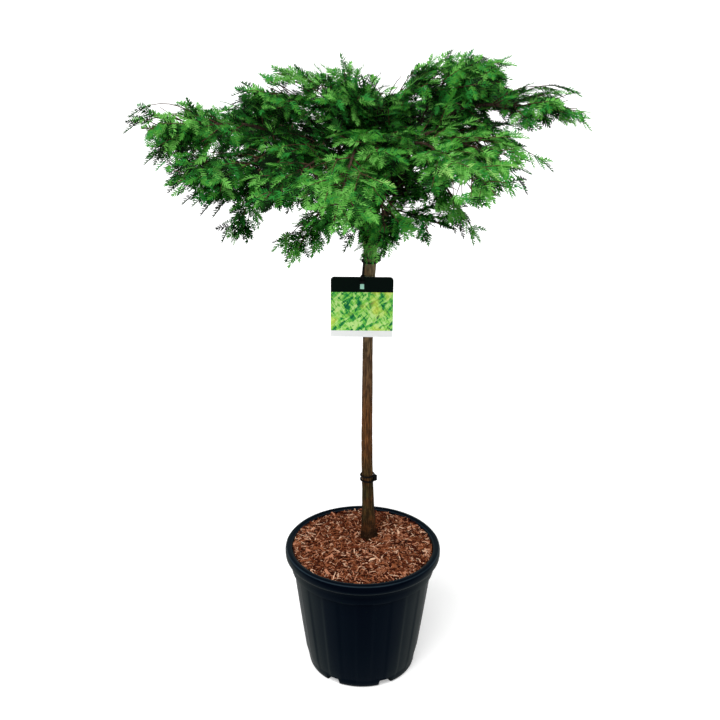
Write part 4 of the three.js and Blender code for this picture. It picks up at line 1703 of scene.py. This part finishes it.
    def dress_twig(self, twig: Twig) -> None:
        """Makes a twig and sets opposite sprays along it and one at its end.

        Args:
            twig: The twig.
        """
        path, bare = twig.path, twig.bare
        rings = max(3, round(path.length / self.twig_ring_gap))
        points = np.array([path.at(share) for share in np.linspace(0, 1, rings)])
        self.twigs.add(*tube(points, np.linspace(self.twig_foot, self.twig_tip, rings), self.twig_sides))
        count = int((1 - bare) * path.length / self.spray_gap)
        for number in range(count + 1):
            share = bare + (1 - bare) * (number + 0.35) / (count + 0.4)
            self.pair_sprays(twig, min(share, 0.98))
        self.place_spray(twig, path.at(1), path.tangent(1), twig.normal, self.end_spray)

    def pair_sprays(self, twig: Twig, share: float) -> None:
        """Sets two opposite sprays on a twig, turned a little to the light.

        Args:
            twig: The twig.
            share: Where on it they stand, as a share of its length.
        """
        root = twig.path.at(share)
        random = self.random_at(root)
        tangent = twig.path.tangent(share)
        outline = 0.7 + 0.3 * math.sin(math.pi * min(share * 1.05, 1.0) ** 0.8)
        longest = min(self.spray_longest, self.spray_share * twig.length + self.spray_least) * outline
        out = twig.limb.space.outside(root)
        for side in (1, -1):
            angle = side * math.radians(60 - 18 * share + random.play(22))
            aim = turned_about(tangent, twig.normal, angle)
            tipped = twig.normal * random.play(0.5)
            aim = unit(aim + tipped + vec(0, 0, random.play(0.4) - 1.6 * twig.limb.droop))
            jitter = vec(random.play(0.9), random.play(0.9), random.play(0.4))
            face = unit(twig.normal * 0.2 + self.to_light + out * 0.5 + jitter)
            aim = unit(aim - face * (0.85 * float(aim @ face)))
            self.place_spray(twig, root, aim, face, longest * (1 + random.play(0.28)))

    def place_spray(self, twig: Twig, root: Array, aim: Array, face: Array, size: float) -> None:
        """Sets one spray, if it keeps to its mass's own space and out of the ways through the crown.

        Args:
            twig: The twig that carries it.
            root: Where it leaves the twig.
            aim: The way it points.
            face: Its upper side.
            size: The length that it should have.
        """
        space = twig.limb.space
        if twig.bounded and not space.holds(root + aim * size, self.spray_slack):
            size *= 0.7
            if not space.holds(root + aim * size, self.spray_slack):
                return
        if size < self.spray_shortest or self.in_opening(root + aim * (size * 0.6)):
            return
        random = self.random_at(root + aim * 3.1)
        kind = int(np.argmin([abs(spray.length - size) + 5 * random.number() for spray in self.kinds]))
        side = unit(np.cross(face, aim))
        least, most = self.spray_scales
        scale = min(max(size / self.kinds[kind].length, least), most)
        frame = np.stack((aim, side, np.cross(aim, side))) * scale
        self.placed[twig.limb.region].append(Placed(kind, root, frame, self.tint_at(twig, root, random)))

    def in_opening(self, point: Array) -> bool:
        """Says whether a point lies in one of the ways that the sprays leave clear.

        Args:
            point: The point.

        Returns:
            Whether it does.
        """
        off = point - self.opening_at
        along = (off * self.opening_along).sum(1)
        return bool(((off**2).sum(1) - along**2 < self.opening_radius**2).any())

    def tint_at(self, twig: Twig, point: Array, random: RandomStream) -> Tint:
        """Deals out a green as painted light and shade: brighter on a mass's upper and outer side, darker
        inside the crown.

        Args:
            twig: The twig that carries the spray.
            point: The spray's foot.
            random: The stream that its play is drawn from.

        Returns:
            The green.
        """
        limb = twig.limb
        # Painted light and shade: the level rises with the twig's lit, the mass's shift and its upper and
        # outer side, and falls inside the crown.
        shift, cool = limb.light.value
        upper = (point[2] - limb.space.centre[2]) / float(limb.space.half[2])
        if limb.region is Region.HANGING:
            upper = max(upper, -0.3)
        across, back = GROWTH.axis
        outer = math.hypot(point[0] - across, (point[1] - back) * 1.1) / self.outer_reach
        if limb.region is Region.TOP:
            outer = max(outer, 0.7)
        level = self.tone + twig.lit + self.upper_tone * min(max(upper, -1.2), 1.2)
        level += self.outer_tone * (min(outer, 1.0) - 0.6) + shift + random.play(self.tone_play)
        shade, deep, middle, fresh = self.tone_steps
        if level < deep:
            return Tint.SHADE if level < shade else Tint.DEEP
        if level < middle:
            return Tint.COOL if random.number() < cool else Tint.LEAF
        return Tint.FRESH if level < fresh else Tint.LIME

    @staticmethod
    def random_at(point: Array) -> RandomStream:
        """Returns a stream of random numbers that belongs to a place."""
        mixed = point[0] * PLACE_MIX[0] + point[1] * PLACE_MIX[1] + point[2] * PLACE_MIX[2]
        return RandomStream(int(abs(mixed) * 3))

    def make_foliage(self, greens: list[Material]) -> list[Thing]:
        """Joins the sprays of each region into one piece.

        Args:
            greens: The needles' materials, in the order of the tints.

        Returns:
            The pieces.
        """
        shapes = [spray.shape() for spray in self.kinds]
        pieces = []
        for region, sprays in self.placed.items():
            pile = Pile()
            for kind, (points, faces, steps) in enumerate(shapes):
                for tint in Tint:
                    chosen = [spray for spray in sprays if spray.kind == kind and spray.tint is tint]
                    if not chosen:
                        continue
                    roots = np.array([spray.root for spray in chosen])
                    frames = np.array([spray.frame for spray in chosen])
                    placed = np.einsum("vi,nij->nvj", points, frames) + roots[:, None, :]
                    shifts = np.arange(len(chosen)) * len(points)
                    joined = (faces[None, :, :] + shifts[:, None, None]).reshape(-1, 3)
                    slots = np.tile(np.maximum(tint.value + steps, 0), len(chosen))
                    pile.add(placed.reshape(-1, 3), joined, slots)
            thing = pile.make(f"sprays_{region.value}", greens, False)
            nodes = [f"foliage_{limb.name}" for limb in self.limbs if limb.region is region]
            pieces.append(settle(thing, "foliage", *nodes))
        return pieces

    def make_wood(self, bark: Material, twig_bark: Material) -> list[Thing]:
        """Joins the boughs into one piece and the twigs into another.

        Args:
            bark: The boughs' material.
            twig_bark: The twigs' material.

        Returns:
            The boughs and the twigs.
        """
        boughs = self.boughs.make("boughs", [bark], True)
        twigs = self.twigs.make("twigs", [twig_bark], True)
        nodes = [f"bough_{limb.name}" for limb in self.limbs]
        return [settle(boughs, "bough_bark", *nodes), settle(twigs, "bough_bark")]


# ---- Trunk ----


@dataclass
class Trunk:
    """The trunk in relief, from its flat foot to the grafted head."""

    foot: Triple = (12.3, 38.0, 264.3)
    stations: tuple[Triple, ...] = (
        (264.3, 17.8, 12.3), (302, 15.0, 11.6), (340, 12.7, 10.3), (384, 11.6, 8.9), (438, 11.3, 7.3),
        (506, 11.1, 6.0), (594, 10.7, 5.8), (680, 10.0, 5.7), (724, 9.8, 5.8), (800, 10.9, 6.2),
        (856, 12.0, 6.8), (902, 13.4, 8.6), (928, 17.2, 9.4), (952, 17.6, 9.5), (972, 12.0, 9.5),
        (982, 5.0, 9.5),
    )
    sides: int = 84
    ring_gap: float = 2.3
    flare_lobes: int = 5
    flare_depth: float = 0.1
    flare_height: float = 60.0
    fissure: float = 1.1

    def at(self, height: float) -> Pair:
        """Returns the radius and the sideways place of the middle at a height."""
        heights, radii, places = zip(*self.stations)
        return float(np.interp(height, heights, radii)), float(np.interp(height, heights, places))

    def surface(self, angle: float, height: float) -> float:
        """Works out how far the bark is from the middle.

        Args:
            angle: The direction in radians.
            height: The height in millimetres.

        Returns:
            The distance in millimetres.
        """
        radius, _ = self.at(height)
        flare = max(0.0, 1 - (height - self.foot[2]) / self.flare_height) * self.flare_depth
        radius *= 1 + flare * math.cos(self.flare_lobes * angle + 1)
        east, north = math.cos(angle), math.sin(angle)
        swell = noise.noise(Vector((east * 0.9, north * 0.9, height * 0.012)))
        plates = noise.noise(Vector((east * 3.1, north * 3.1, height * 0.03 + 7)))
        ridges = noise.noise(Vector((east * 7.5, north * 7.5, height * 0.055 + 21)))
        fine = noise.noise(Vector((east * 16, north * 16, height * 0.16 + 40)))
        crack = max(0.0, 1 - abs(plates) * 5.5) + 0.6 * max(0.0, 1 - abs(ridges) * 5)
        old = 0.55 + 0.45 * min(1.0, abs(height - 630) / 260)
        head = min(max((height - 895) / 40, 0.0), 1.0)
        knob = head * 1.6 * noise.noise(Vector((east * 1.8, north * 1.8, height * 0.045 + 3)))
        return radius + 0.5 * swell - self.fissure * old * 0.6 * crack + 0.22 * ridges + 0.14 * fine + knob

    def build(self, bark: Material) -> Thing:
        """Wraps a grid round the trunk and closes its ends.

        Args:
            bark: Its material.

        Returns:
            The trunk.
        """
        low, high = self.stations[0][0], self.stations[-1][0]
        rows = round((high - low) / self.ring_gap)
        shape = bmesh.new()
        bmesh.ops.create_grid(shape, x_segments=self.sides, y_segments=rows, size=0.5)
        for vert in shape.verts:
            angle = (vert.co.x + 0.5) * 2 * math.pi
            height = low + (vert.co.y + 0.5) * (high - low)
            _, across = self.at(height)
            out = self.surface(angle % (2 * math.pi), height)
            vert.co = (across + out * math.cos(angle), self.foot[1] + out * math.sin(angle), height)
        bmesh.ops.remove_doubles(shape, verts=shape.verts, dist=1e-3)
        bmesh.ops.holes_fill(shape, edges=[edge for edge in shape.edges if edge.is_boundary], sides=0)
        face_outwards(shape)
        return settle(finish_bmesh(shape, "trunk_bark", [bark], 70), "trunk_bark", "trunk")


# ---- Pot and its filling ----


@dataclass
class Pot:
    """The moulded nursery pot: rolled lip, smooth collar, panelled body and notched foot."""

    profile: tuple[Pair, ...] = (
        (0, 0), (60, 0), (84, 0), (86.5, 0), (100, 0), (104.5, 0.6), (107.5, 3), (109, 6), (110.2, 10),
        (111, 14), (113, 28), (115, 43), (117.1, 58), (120.5, 83), (124, 108), (128, 137), (132, 165),
        (135.5, 191), (138.5, 212), (140.1, 223), (140.6, 225.6), (143.5, 227.4), (145.4, 228.6),
        (146, 231), (146.9, 242), (147.6, 252.5), (148.6, 255.2), (152, 256.3), (155.6, 257.4),
        (157.5, 260), (158, 264), (158, 271), (157.2, 275), (154.8, 278), (151.4, 279), (148, 278.8),
        (145.4, 277.4), (144.2, 275), (144, 271), (144, 260), (143.2, 250), (136.9, 192), (126, 106),
        (117, 40), (111.5, 18), (107, 16), (60, 16), (0, 16),
    )
    steps: int = 360
    panels: int = 12
    groove: float = 1.3
    groove_half: float = 7.6
    groove_edge: float = 1.1
    groove_turn: float = 17.0
    feet: int = 6
    foot_turn: float = -3.0
    notch_half: float = 7.6
    notch_inner: float = 85.5
    notch_height: float = 15.2
    wall_foot: Pair = (108.5, 10.0)
    wall_slope: float = 0.14
    panel_reach: Pair = (13.0, 226.0)
    panel_fade: float = 8.0

    def mould(self, point: Vector) -> None:
        """Presses the panels' grooves and the foot's notches into one vertex.

        Args:
            point: The vertex's place, in millimetres, which is changed.
        """
        radius = math.hypot(point.x, point.y)
        if radius < 1:
            return
        angle = math.degrees(math.atan2(point.y, point.x))
        low, high = self.panel_reach
        wall = self.wall_foot[0] + self.wall_slope * (point.z - self.wall_foot[1])
        if radius > wall and low < point.z < high:
            pitch = 360 / self.panels
            off = (angle - self.groove_turn + pitch / 2) % pitch - pitch / 2
            ends = min(1.0, (point.z - low) / self.panel_fade, (high - point.z) / self.panel_fade)
            groove = self.groove / (1 + math.exp(2 * (abs(off) - self.groove_half) / self.groove_edge))
            share = 1 - ends * groove / radius
            point.x *= share
            point.y *= share
        notch = 360 / self.feet
        off = abs((angle - self.foot_turn + notch / 2) % notch - notch / 2)
        if off < self.notch_half and radius > self.notch_inner and point.z < self.notch_height:
            point.z = self.notch_height

    def build(self, plastic: Material) -> Thing:
        """Turns the profile and moulds it.

        Args:
            plastic: Its material.

        Returns:
            The pot.
        """
        shape = bmesh.new()
        turn_profile(shape, self.profile, self.steps)
        bmesh.ops.recalc_face_normals(shape, faces=shape.faces)
        for vert in shape.verts:
            self.mould(vert.co)
        return settle(finish_bmesh(shape, "moulded_pot", [plastic], 34), "pot_plastic", "pot")


@dataclass
class ChipLayer:
    """The wood chips: a rough bed with thousands of loose chips and slivers on it."""

    radius: float = 143.2
    level: float = 272.4
    trunk_at: Pair = (12.3, 38.0)
    hollow_radius: float = 26.0
    hollow_depth: float = 3.0
    underside: float = 252.3
    rings: int = 26
    steps: int = 96
    fibres: int = 6400
    chips: int = 560
    seed: int = 71
    rough: float = 1.6
    sunk: float = 1.4
    chip_length: Pair = (9.0, 24.0)
    fibre_length: Pair = (6.0, 30.0)
    trunk_gap: float = 16.5
    top: float = 280.5
    wood_shares: tuple[float, ...] = (0.26, 0.24, 0.22, 0.19, 0.09)

    def height(self, x: Array, y: Array) -> Array:
        """Works out the bed's height at places, lower round the trunk's foot.

        Args:
            x: The places across.
            y: The places back.

        Returns:
            The heights.
        """
        swell = 1.1 * np.sin(x * 0.034 + 0.6) + 0.9 * np.cos(y * 0.041 + 1.9)
        swell = swell + 0.6 * np.sin((x + y) * 0.075)
        near = np.hypot(x - self.trunk_at[0], y - self.trunk_at[1]) / self.hollow_radius
        return self.level + swell - self.hollow_depth * np.clip(1.35 - near, 0, 1) ** 0.8

    def build_bed(self, earth: Material) -> Thing:
        """Turns the bed's section and makes its top uneven.

        Args:
            earth: Its material.

        Returns:
            The bed.
        """
        shape = bmesh.new()
        section = [(self.radius * ring / self.rings, self.level) for ring in range(self.rings + 1)]
        section += [(self.radius - 1, self.underside), (0, self.underside)]
        turn_profile(shape, section, self.steps)
        for vert in shape.verts:
            if vert.co.z > self.underside + 1:
                rough = noise.noise(Vector((vert.co.x * 0.11, vert.co.y * 0.11, 0))) * self.rough
                vert.co.z = float(self.height(vert.co.x, vert.co.y)) + rough - self.sunk
        face_outwards(shape)
        return settle(finish_bmesh(shape, "chip_bed", [earth], 180), "wood_chips", "wood_chips")

    @staticmethod
    def sliver() -> tuple[Array, Array]:
        """Works out a square bar with a joint in its middle, from -1 to 1 each way.

        Returns:
            Its vertices and its triangles.
        """
        box = np.array([(a, b, c) for a in (-1, 0, 1) for b in (-1, 1) for c in (-1, 1)], float)
        rings = ((0, 1, 3, 2), (4, 5, 7, 6), (8, 9, 11, 10))
        faces = [(0, 1, 3), (0, 3, 2), (8, 10, 11), (8, 11, 9)]
        for near, far in zip(rings, rings[1:]):
            for k in range(4):
                after = (k + 1) % 4
                faces += [(near[k], far[k], far[after]), (near[k], far[after], near[after])]
        return box, np.array(faces)

    def build_chips(self, woods: list[Material]) -> Thing:
        """Scatters the fibres and chips, each a little bent, as one joined mesh.

        Args:
            woods: The chips' materials, the darkest first.

        Returns:
            The joined chips.
        """
        draw = np.random.default_rng(self.seed)
        pile = Pile()
        total = self.fibres + self.chips
        broad = np.arange(total) >= self.fibres
        chip_length = draw.uniform(*self.chip_length, total)
        fibre_length = np.clip(draw.lognormal(2.5, 0.4, total), *self.fibre_length)
        length = np.where(broad, chip_length, fibre_length)
        width = np.where(broad, length * draw.uniform(0.16, 0.34, total), draw.uniform(1.0, 2.4, total))
        thick = np.where(broad, draw.uniform(0.9, 2.0, total), draw.uniform(0.6, 1.2, total))
        turn = draw.uniform(0, math.pi, total)
        tilt = draw.normal(0, 0.3, total)
        lean = draw.normal(0, 0.4, total)
        bend = draw.normal(0, 0.22, total)
        reach = np.sqrt(draw.uniform(0, 1, total)) * (self.radius - 1.0)
        around = draw.uniform(0, 2 * math.pi, total)
        x, y = reach * np.cos(around), reach * np.sin(around)
        half = length / 2
        over = np.hypot(np.abs(x) + np.abs(half * np.cos(turn)), np.abs(y) + np.abs(half * np.sin(turn)))
        pull = np.minimum(1.0, (self.radius - 0.6) / over)
        x, y = x * pull, y * pull
        gap = np.hypot(x - self.trunk_at[0], y - self.trunk_at[1])
        keep = gap > self.trunk_gap + half * 0.35
        rise = np.abs(np.sin(tilt)) * half * 0.6 + draw.uniform(-1.6, 4.2, total)
        z = np.minimum(self.height(x, y) + rise, self.top - np.abs(np.sin(tilt)) * half)
        shade = draw.choice(len(woods), total, p=self.wood_shares)
        box, faces = self.sliver()
        ends = np.abs(box[:, 0]) > 0.5
        for i in np.flatnonzero(keep):
            corner = box * (half[i], width[i] / 2, thick[i] / 2)
            corner[ends, 0] *= 1 - 0.3 * draw.uniform(0, 1, 8)
            corner[ends, 1] *= 1 - 0.6 * draw.uniform(0, 1, 8)
            corner[:, 1] += bend[i] * half[i] * (1 - (corner[:, 0] / half[i]) ** 2)
            corner[:, 2] -= 0.1 * half[i] * (corner[:, 0] / half[i]) ** 2
            turned = Matrix.Rotation(turn[i], 3, "Z") @ Matrix.Rotation(tilt[i], 3, "Y")
            frame = np.array(turned @ Matrix.Rotation(lean[i], 3, "X"))
            pile.add(corner @ frame.T + (x[i], y[i], z[i]), faces, int(shade[i]))
        return settle(pile.make("loose_chips", woods, False), "wood_chips")


# ---- Ties, strap and card ----


@dataclass
class Tie:
    """Two loops of black cord round the trunk, held by a wrapped knot with two short ends."""

    name: str
    height: float
    trunk: Trunk
    turn: float
    tails: tuple[tuple[Triple, float, float], ...]
    cord: float = 1.75
    pitch: float = 10.6
    gap: float = 0.15
    loops: tuple[Pair, ...] = ((-0.5, 2.5), (0.5, -2.0))
    knot_out: float = 2.2
    wraps: tuple[float, ...] = (-3.6, 0.0, 3.6)
    wrap_radius: float = 2.8
    wrap_tip: float = 9.0
    core: float = 4.0
    core_stretch: tuple[float, ...] = (0.85, 1, 1.9, 1)
    sections: int = 12
    steps: int = 72

    def ring(self, shape: BMesh, radius: float, cord: float, frame: Matrix) -> None:
        """Adds one closed ring of cord.

        Args:
            shape: Where it goes.
            radius: Its radius to the cord's middle.
            cord: The cord's own radius.
            frame: Where it is put.
        """
        made = bmesh.ops.create_circle(
            shape, segments=self.sections, radius=cord,
            matrix=Matrix.Translation((radius, 0, 0)) @ Matrix.Rotation(math.pi / 2, 4, "X"),
        )["verts"]
        before = set(shape.verts)
        spin_round(shape, made + edges_of(made), self.steps)
        new = [vert for vert in shape.verts if vert not in before]
        new += [vert for vert in made if vert.is_valid]
        bmesh.ops.transform(shape, matrix=frame, verts=new)

    def tail(self, shape: BMesh, frame: Matrix, reach: float, thick: float) -> None:
        """Adds one short end of cord with rounded rims.

        Args:
            shape: Where it goes.
            frame: Where it is put, with its own length along Z.
            reach: Its length.
            thick: Its radius where it leaves the knot.
        """
        end = bmesh.ops.create_cone(
            shape, cap_ends=True, segments=self.sections, radius1=thick, radius2=thick * 0.86, depth=reach,
        )["verts"]
        bmesh.ops.transform(shape, matrix=frame, verts=end)
        rim = [
            edge for edge in edges_of(end)
            if len(edge.link_faces) == 2 and any(len(face.verts) > 4 for face in edge.link_faces)
        ]
        round_edges(shape, rim, thick * 0.4, 2)

    def build(self, rubber: Material) -> Thing:
        """Builds the loops, the knot and the ends of the cord.

        Args:
            rubber: Their material.

        Returns:
            The tie.
        """
        radius, across = self.trunk.at(self.height)
        snug = radius + self.cord + self.gap
        turned = Matrix.Rotation(math.radians(self.turn), 4, "Z")
        base = Matrix.Translation((across, self.trunk.foot[1], self.height)) @ turned
        shape = bmesh.new()
        for share, tip in self.loops:
            tilt = Matrix.Rotation(math.radians(tip), 4, "Y")
            place = Matrix.Translation((0, 0, share * self.pitch))
            self.ring(shape, snug, self.cord, base @ place @ tilt)
        knot = base @ Matrix.Translation((snug + self.knot_out, 0, 0))
        for offset in self.wraps:
            wrap = Matrix.Translation((0, 0, offset)) @ Matrix.Rotation(math.radians(self.wrap_tip), 4, "X")
            self.ring(shape, self.wrap_radius, self.cord, knot @ wrap)
        core = bmesh.ops.create_uvsphere(shape, u_segments=18, v_segments=12, radius=self.core)["verts"]
        bmesh.ops.transform(shape, matrix=knot @ Matrix.Diagonal(self.core_stretch), verts=core)
        for aim, reach, thick in self.tails:
            turn = Vector((0, 0, 1)).rotation_difference(Vector(aim)).to_matrix().to_4x4()
            self.tail(shape, knot @ turn @ Matrix.Translation((0, 0, reach / 2 + 1)), reach, thick)
        face_outwards(shape)
        return settle(finish_bmesh(shape, f"{self.name}_cord", [rubber], 50), "tie_cord", self.name)


@dataclass
class Card:
    """The bare card: a thin sheet with rounded top corners, a band, a picture field and a pale strip."""

    x: float = -6.4
    top: float = 850.0
    width: float = 119.0
    height: float = 123.0
    back: float = 25.3
    thick: float = 0.8
    corner: float = 7.0
    band: float = 31.0
    strip: float = 13.2

    def build(self, *finishes: Material) -> Thing:
        """Cuts the sheet into its fields and rounds its top corners.

        Args:
            *finishes: Those of the dark band, the picture, the pale strip, and the edges with the back.

        Returns:
            The card.
        """
        shape = bmesh.new()
        add_block(shape, (self.width, self.thick, self.height), (0, 0, 0))
        top_corners = []
        for edge in shape.edges:
            first, last = (vert.co for vert in edge.verts)
            if min(first.z, last.z) > 0 and abs(first.x - last.x) < DOUBLES:
                top_corners.append(edge)
        round_edges(shape, top_corners, self.corner, 8)
        middle = self.top - self.height / 2
        bmesh.ops.translate(shape, vec=(self.x, self.back - self.thick / 2, middle), verts=shape.verts)
        band_foot, strip_top = self.top - self.band, self.top - self.height + self.strip
        for level in (band_foot, strip_top):
            everything = list(shape.verts) + list(shape.edges) + list(shape.faces)
            bmesh.ops.bisect_plane(shape, geom=everything, plane_co=(0, 0, level), plane_no=(0, 0, 1))
        shape.normal_update()
        for face in shape.faces:
            height = face.calc_center_median().z
            if face.normal.y > -0.9:
                face.material_index = 3
            else:
                face.material_index = 0 if height > band_foot else 1 if height > strip_top else 2
        face_outwards(shape)
        thing = finish_bmesh(shape, "card_sheet", list(finishes), 40)
        return settle(thing, "label_card", "label_card")


@dataclass
class Strap:
    """The strap from the upper tie to the card: a flat band, a bead, a peg with a domed head and a clip."""

    x: float = -6.4
    back: float = 23.55
    width: float = 4.0
    thick: float = 1.4
    top: float = 895.0
    bottom: float = 838.0
    lean: float = 4.6
    hole: float = 841.0
    rounding: float = 0.45
    ribs: int = 6
    first_rib: float = 6.0
    rib_gap: float = 9.0
    rib: Triple = (2.8, 0.5, 1.3)
    head: float = 4.3
    head_squash: Triple = (1, 0.5, 1)
    bead_at: Pair = (-5.6, 852.4)
    bead_squash: Triple = (1, 0.4, 0.62)
    clip: Triple = (7.6, 0.9, 10.2)
    clip_at: float = 830.8
    clip_rounding: float = 0.3

    def build(self, rubber: Material, clip: Material) -> Thing:
        """Builds the strap in one piece.

        Args:
            rubber: The band's and the head's finish.
            clip: The pale clip's finish.

        Returns:
            The strap.
        """
        shape = bmesh.new()
        front = self.back - self.thick
        middle = (self.x, self.back - self.thick / 2, (self.top + self.bottom) / 2)
        add_block(shape, (self.width, self.thick, self.top - self.bottom), middle)
        round_edges(shape, list(shape.edges), self.rounding, 3)
        for rib in range(self.ribs):
            add_block(shape, self.rib, (self.x, front, self.bottom + self.first_rib + rib * self.rib_gap))
        leaning = Matrix.Rotation(math.radians(self.lean), 3, "Y")
        bmesh.ops.rotate(shape, cent=(self.x, 0, self.hole), matrix=leaning, verts=shape.verts)
        bead = (20, self.bead_squash, *self.bead_at)
        for sides, squash, across, height in (bead, (24, self.head_squash, self.x, self.hole)):
            ball = bmesh.ops.create_uvsphere(
                shape, u_segments=sides, v_segments=sides // 2, radius=self.head,
            )["verts"]
            bmesh.ops.scale(shape, vec=squash, verts=ball)
            bmesh.ops.translate(shape, vec=(across, front, height), verts=ball)
        plate = add_block(shape, self.clip, (self.x, self.back + self.clip[1] / 2, self.clip_at))
        made = round_edges(shape, edges_of(plate), self.clip_rounding, 2)
        plate_faces = {face for vert in made for face in vert.link_faces}
        for face in plate_faces:
            face.material_index = 1
        face_outwards(shape)
        thing = finish_bmesh(shape, "card_strap", [rubber, clip], 45)
        return settle(thing, "label_strap", "label_strap")


# ---- Setting ----


@dataclass
class Studio:
    """The pale floor, the soft lights and the camera."""

    camera_at: Triple = EYE
    dip: float = 0.416
    roll: float = -0.009
    lens: float = 66.2527
    floor_size: float = 60000.0
    floor_tone: float = 0.93
    floor_glow: float = 0.36
    sky: float = 0.34
    lamps: tuple[tuple[str, Triple, float, float], ...] = (
        ("key_light", (-0.35, -0.8, 1.35), 2.45, 38), ("side_light", (1.0, -0.6, 0.8), 0.5, 90),
        ("back_light", (0.1, 1.0, 1.2), 0.3, 110),
    )

    def build(self) -> None:
        """Builds the whole setting."""
        self.build_floor()
        self.build_lights()
        self.build_camera()

    def build_floor(self) -> None:
        """Lays a plain pale floor."""
        shape = bmesh.new()
        bmesh.ops.create_grid(shape, x_segments=4, y_segments=4, size=self.floor_size / 2)
        finish = bpy.data.materials.new("pale_floor")
        finish.use_nodes = True
        shader = finish.node_tree.nodes["Principled BSDF"]
        bench = Bench(finish.node_tree)
        seen = bench.add("LightPath").outputs["Is Camera Ray"]
        bench.fill(shader, {
            "Base Color": rgba(self.floor_tone), "Roughness": 0.9, "Specular IOR Level": 0.1,
            "Emission Color": rgba(1.0),
            "Emission Strength": bench.maths("MULTIPLY", seen, self.floor_glow),
        })
        finish_bmesh(shape, "floor", [finish])

    def build_lights(self) -> None:
        """Sets a dim even sky and three broad soft lamps."""
        world = bpy.data.worlds.new("soft_sky")
        bpy.context.scene.world = world
        world.use_nodes = True
        bench = Bench(world.node_tree)
        seen = bench.add("LightPath").outputs["Is Camera Ray"]
        even = {"Color": rgba(1.0), "Strength": bench.maths("MAXIMUM", seen, self.sky)}
        bench.fill(world.node_tree.nodes["Background"], even)
        for lamp in self.lamps:
            self.hang(*lamp)

    def hang(self, name: str, at: Triple, strength: float, spread: float) -> None:
        """Hangs one far lamp.

        Args:
            name: Its name.
            at: The direction in which it hangs, seen from the plant.
            strength: Its strength in watts for each square metre.
            spread: How wide it looks, in degrees.
        """
        data = bpy.data.lights.new(name, "SUN")
        data.energy = strength
        data.angle = math.radians(spread)
        thing = bpy.data.objects.new(name, data)
        thing.rotation_euler = Vector(at).to_track_quat("Z", "Y").to_euler()
        bpy.context.scene.collection.objects.link(thing)

    def build_camera(self) -> None:
        """Sets the camera in front of the plant, a little above it and looking down."""
        data = bpy.data.cameras.new("camera")
        data.lens = self.lens
        data.sensor_width = 36
        data.sensor_fit = "HORIZONTAL"
        data.clip_end = 60
        thing = bpy.data.objects.new("camera", data)
        right = Vector((1, 0, 0))
        upward = Vector((0, math.sin(self.dip), math.cos(self.dip)))
        forward = Vector((0, math.cos(self.dip), -math.sin(self.dip)))
        cosine, sine = math.cos(self.roll), math.sin(self.roll)
        columns = (right * cosine - upward * sine, right * sine + upward * cosine, -forward)
        frame = Matrix(columns).transposed().to_4x4()
        thing.matrix_world = Matrix.Translation(Vector(self.camera_at) * MM) @ frame
        bpy.context.scene.collection.objects.link(thing)
        bpy.context.scene.camera = thing


# ---- Assembly ----


GREENS = {
    Tint.SHADE: linear(4, 29, 3),
    Tint.DEEP: linear(22, 80, 18),
    Tint.COOL: linear(44, 136, 52),
    Tint.LEAF: linear(72, 148, 50),
    Tint.FRESH: linear(108, 182, 80),
    Tint.LIME: linear(154, 211, 110),
}

WOODS = (
    linear(60, 21, 8),
    linear(99, 46, 24),
    linear(141, 82, 52),
    linear(182, 123, 93),
    linear(222, 180, 150),
)


def report(*pieces: Thing) -> None:
    """Logs each piece with the number of its faces."""
    for piece in pieces:
        LOG.info("%s: %d faces", piece.name, len(piece.data.polygons))


def main() -> None:
    """Builds the whole plant and its setting, and reports each piece."""
    logging.basicConfig(level=logging.INFO, format="%(name)s %(message)s")
    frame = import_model()
    Studio().build()

    effects = Effects()
    trunk = Trunk()
    report(trunk.build(TrunkBark("trunk_bark", specular=0.08).build(effects)))

    crown = Crown()
    crown.plan()
    crown.grow()
    greens = [Plain(f"needles_{tint.name.lower()}", 0.55, 0.08, color=GREENS[tint]) for tint in Tint]
    report(*crown.make_foliage([green.build(effects) for green in greens]))
    bark = BoughBark("bough_bark", specular=0.3).build(effects)
    twig_bark = Plain("twig_bark", 0.7, 0.15, color=linear(82, 58, 44)).build(effects)
    report(*crown.make_wood(bark, twig_bark))

    report(Pot().build(PotPlastic("pot_plastic", specular=0.008).build(effects)))
    earth = Earth("damp_earth", 0.95, 0.2).build(effects)
    frame["nodes"]["compost"].data.materials.clear()
    frame["nodes"]["compost"].data.materials.append(earth)
    chips = ChipLayer()
    report(chips.build_bed(earth))
    woods = [
        Plain(f"chip_wood_{number}", 0.85, 0.08, color=color, grain=1500.0)
        for number, color in enumerate(WOODS)
    ]
    report(chips.build_chips([wood.build(effects) for wood in woods]))

    rubber = TieRubber("tie_rubber", specular=0.06).build(effects)
    lower_tail = ((0.6, -0.1, -0.8), 5.0, 2.2)
    upper_tails = (((0.42, -0.1, 0.9), 14.5, 2.6), ((0.5, 0.3, -0.81), 5.0, 1.8))
    report(Tie("lower_tie", 413.6, trunk, -12, (lower_tail,)).build(rubber))
    report(Tie("upper_tie", 882.7, trunk, 8, upper_tails).build(rubber))
    card_finishes = (
        Plain("card_band", 0.45, 0.03, color=linear(2, 14, 10)),
        CardPicture("card_picture", 0.4, 0.1),
        Plain("card_strip", 0.35, 0.2, color=linear(252, 254, 253)),
        Plain("card_edge", 0.4, 0.5, color=linear(222, 226, 220)),
    )
    report(Card().build(*(finish.build(effects) for finish in card_finishes)))
    clip = Plain("pale_clip", 0.4, 0.3, color=linear(164, 222, 200)).build(effects)
    report(Strap().build(rubber, clip))

    bpy.context.scene.view_settings.view_transform = "Standard"


if __name__ == "__main__":
    main()
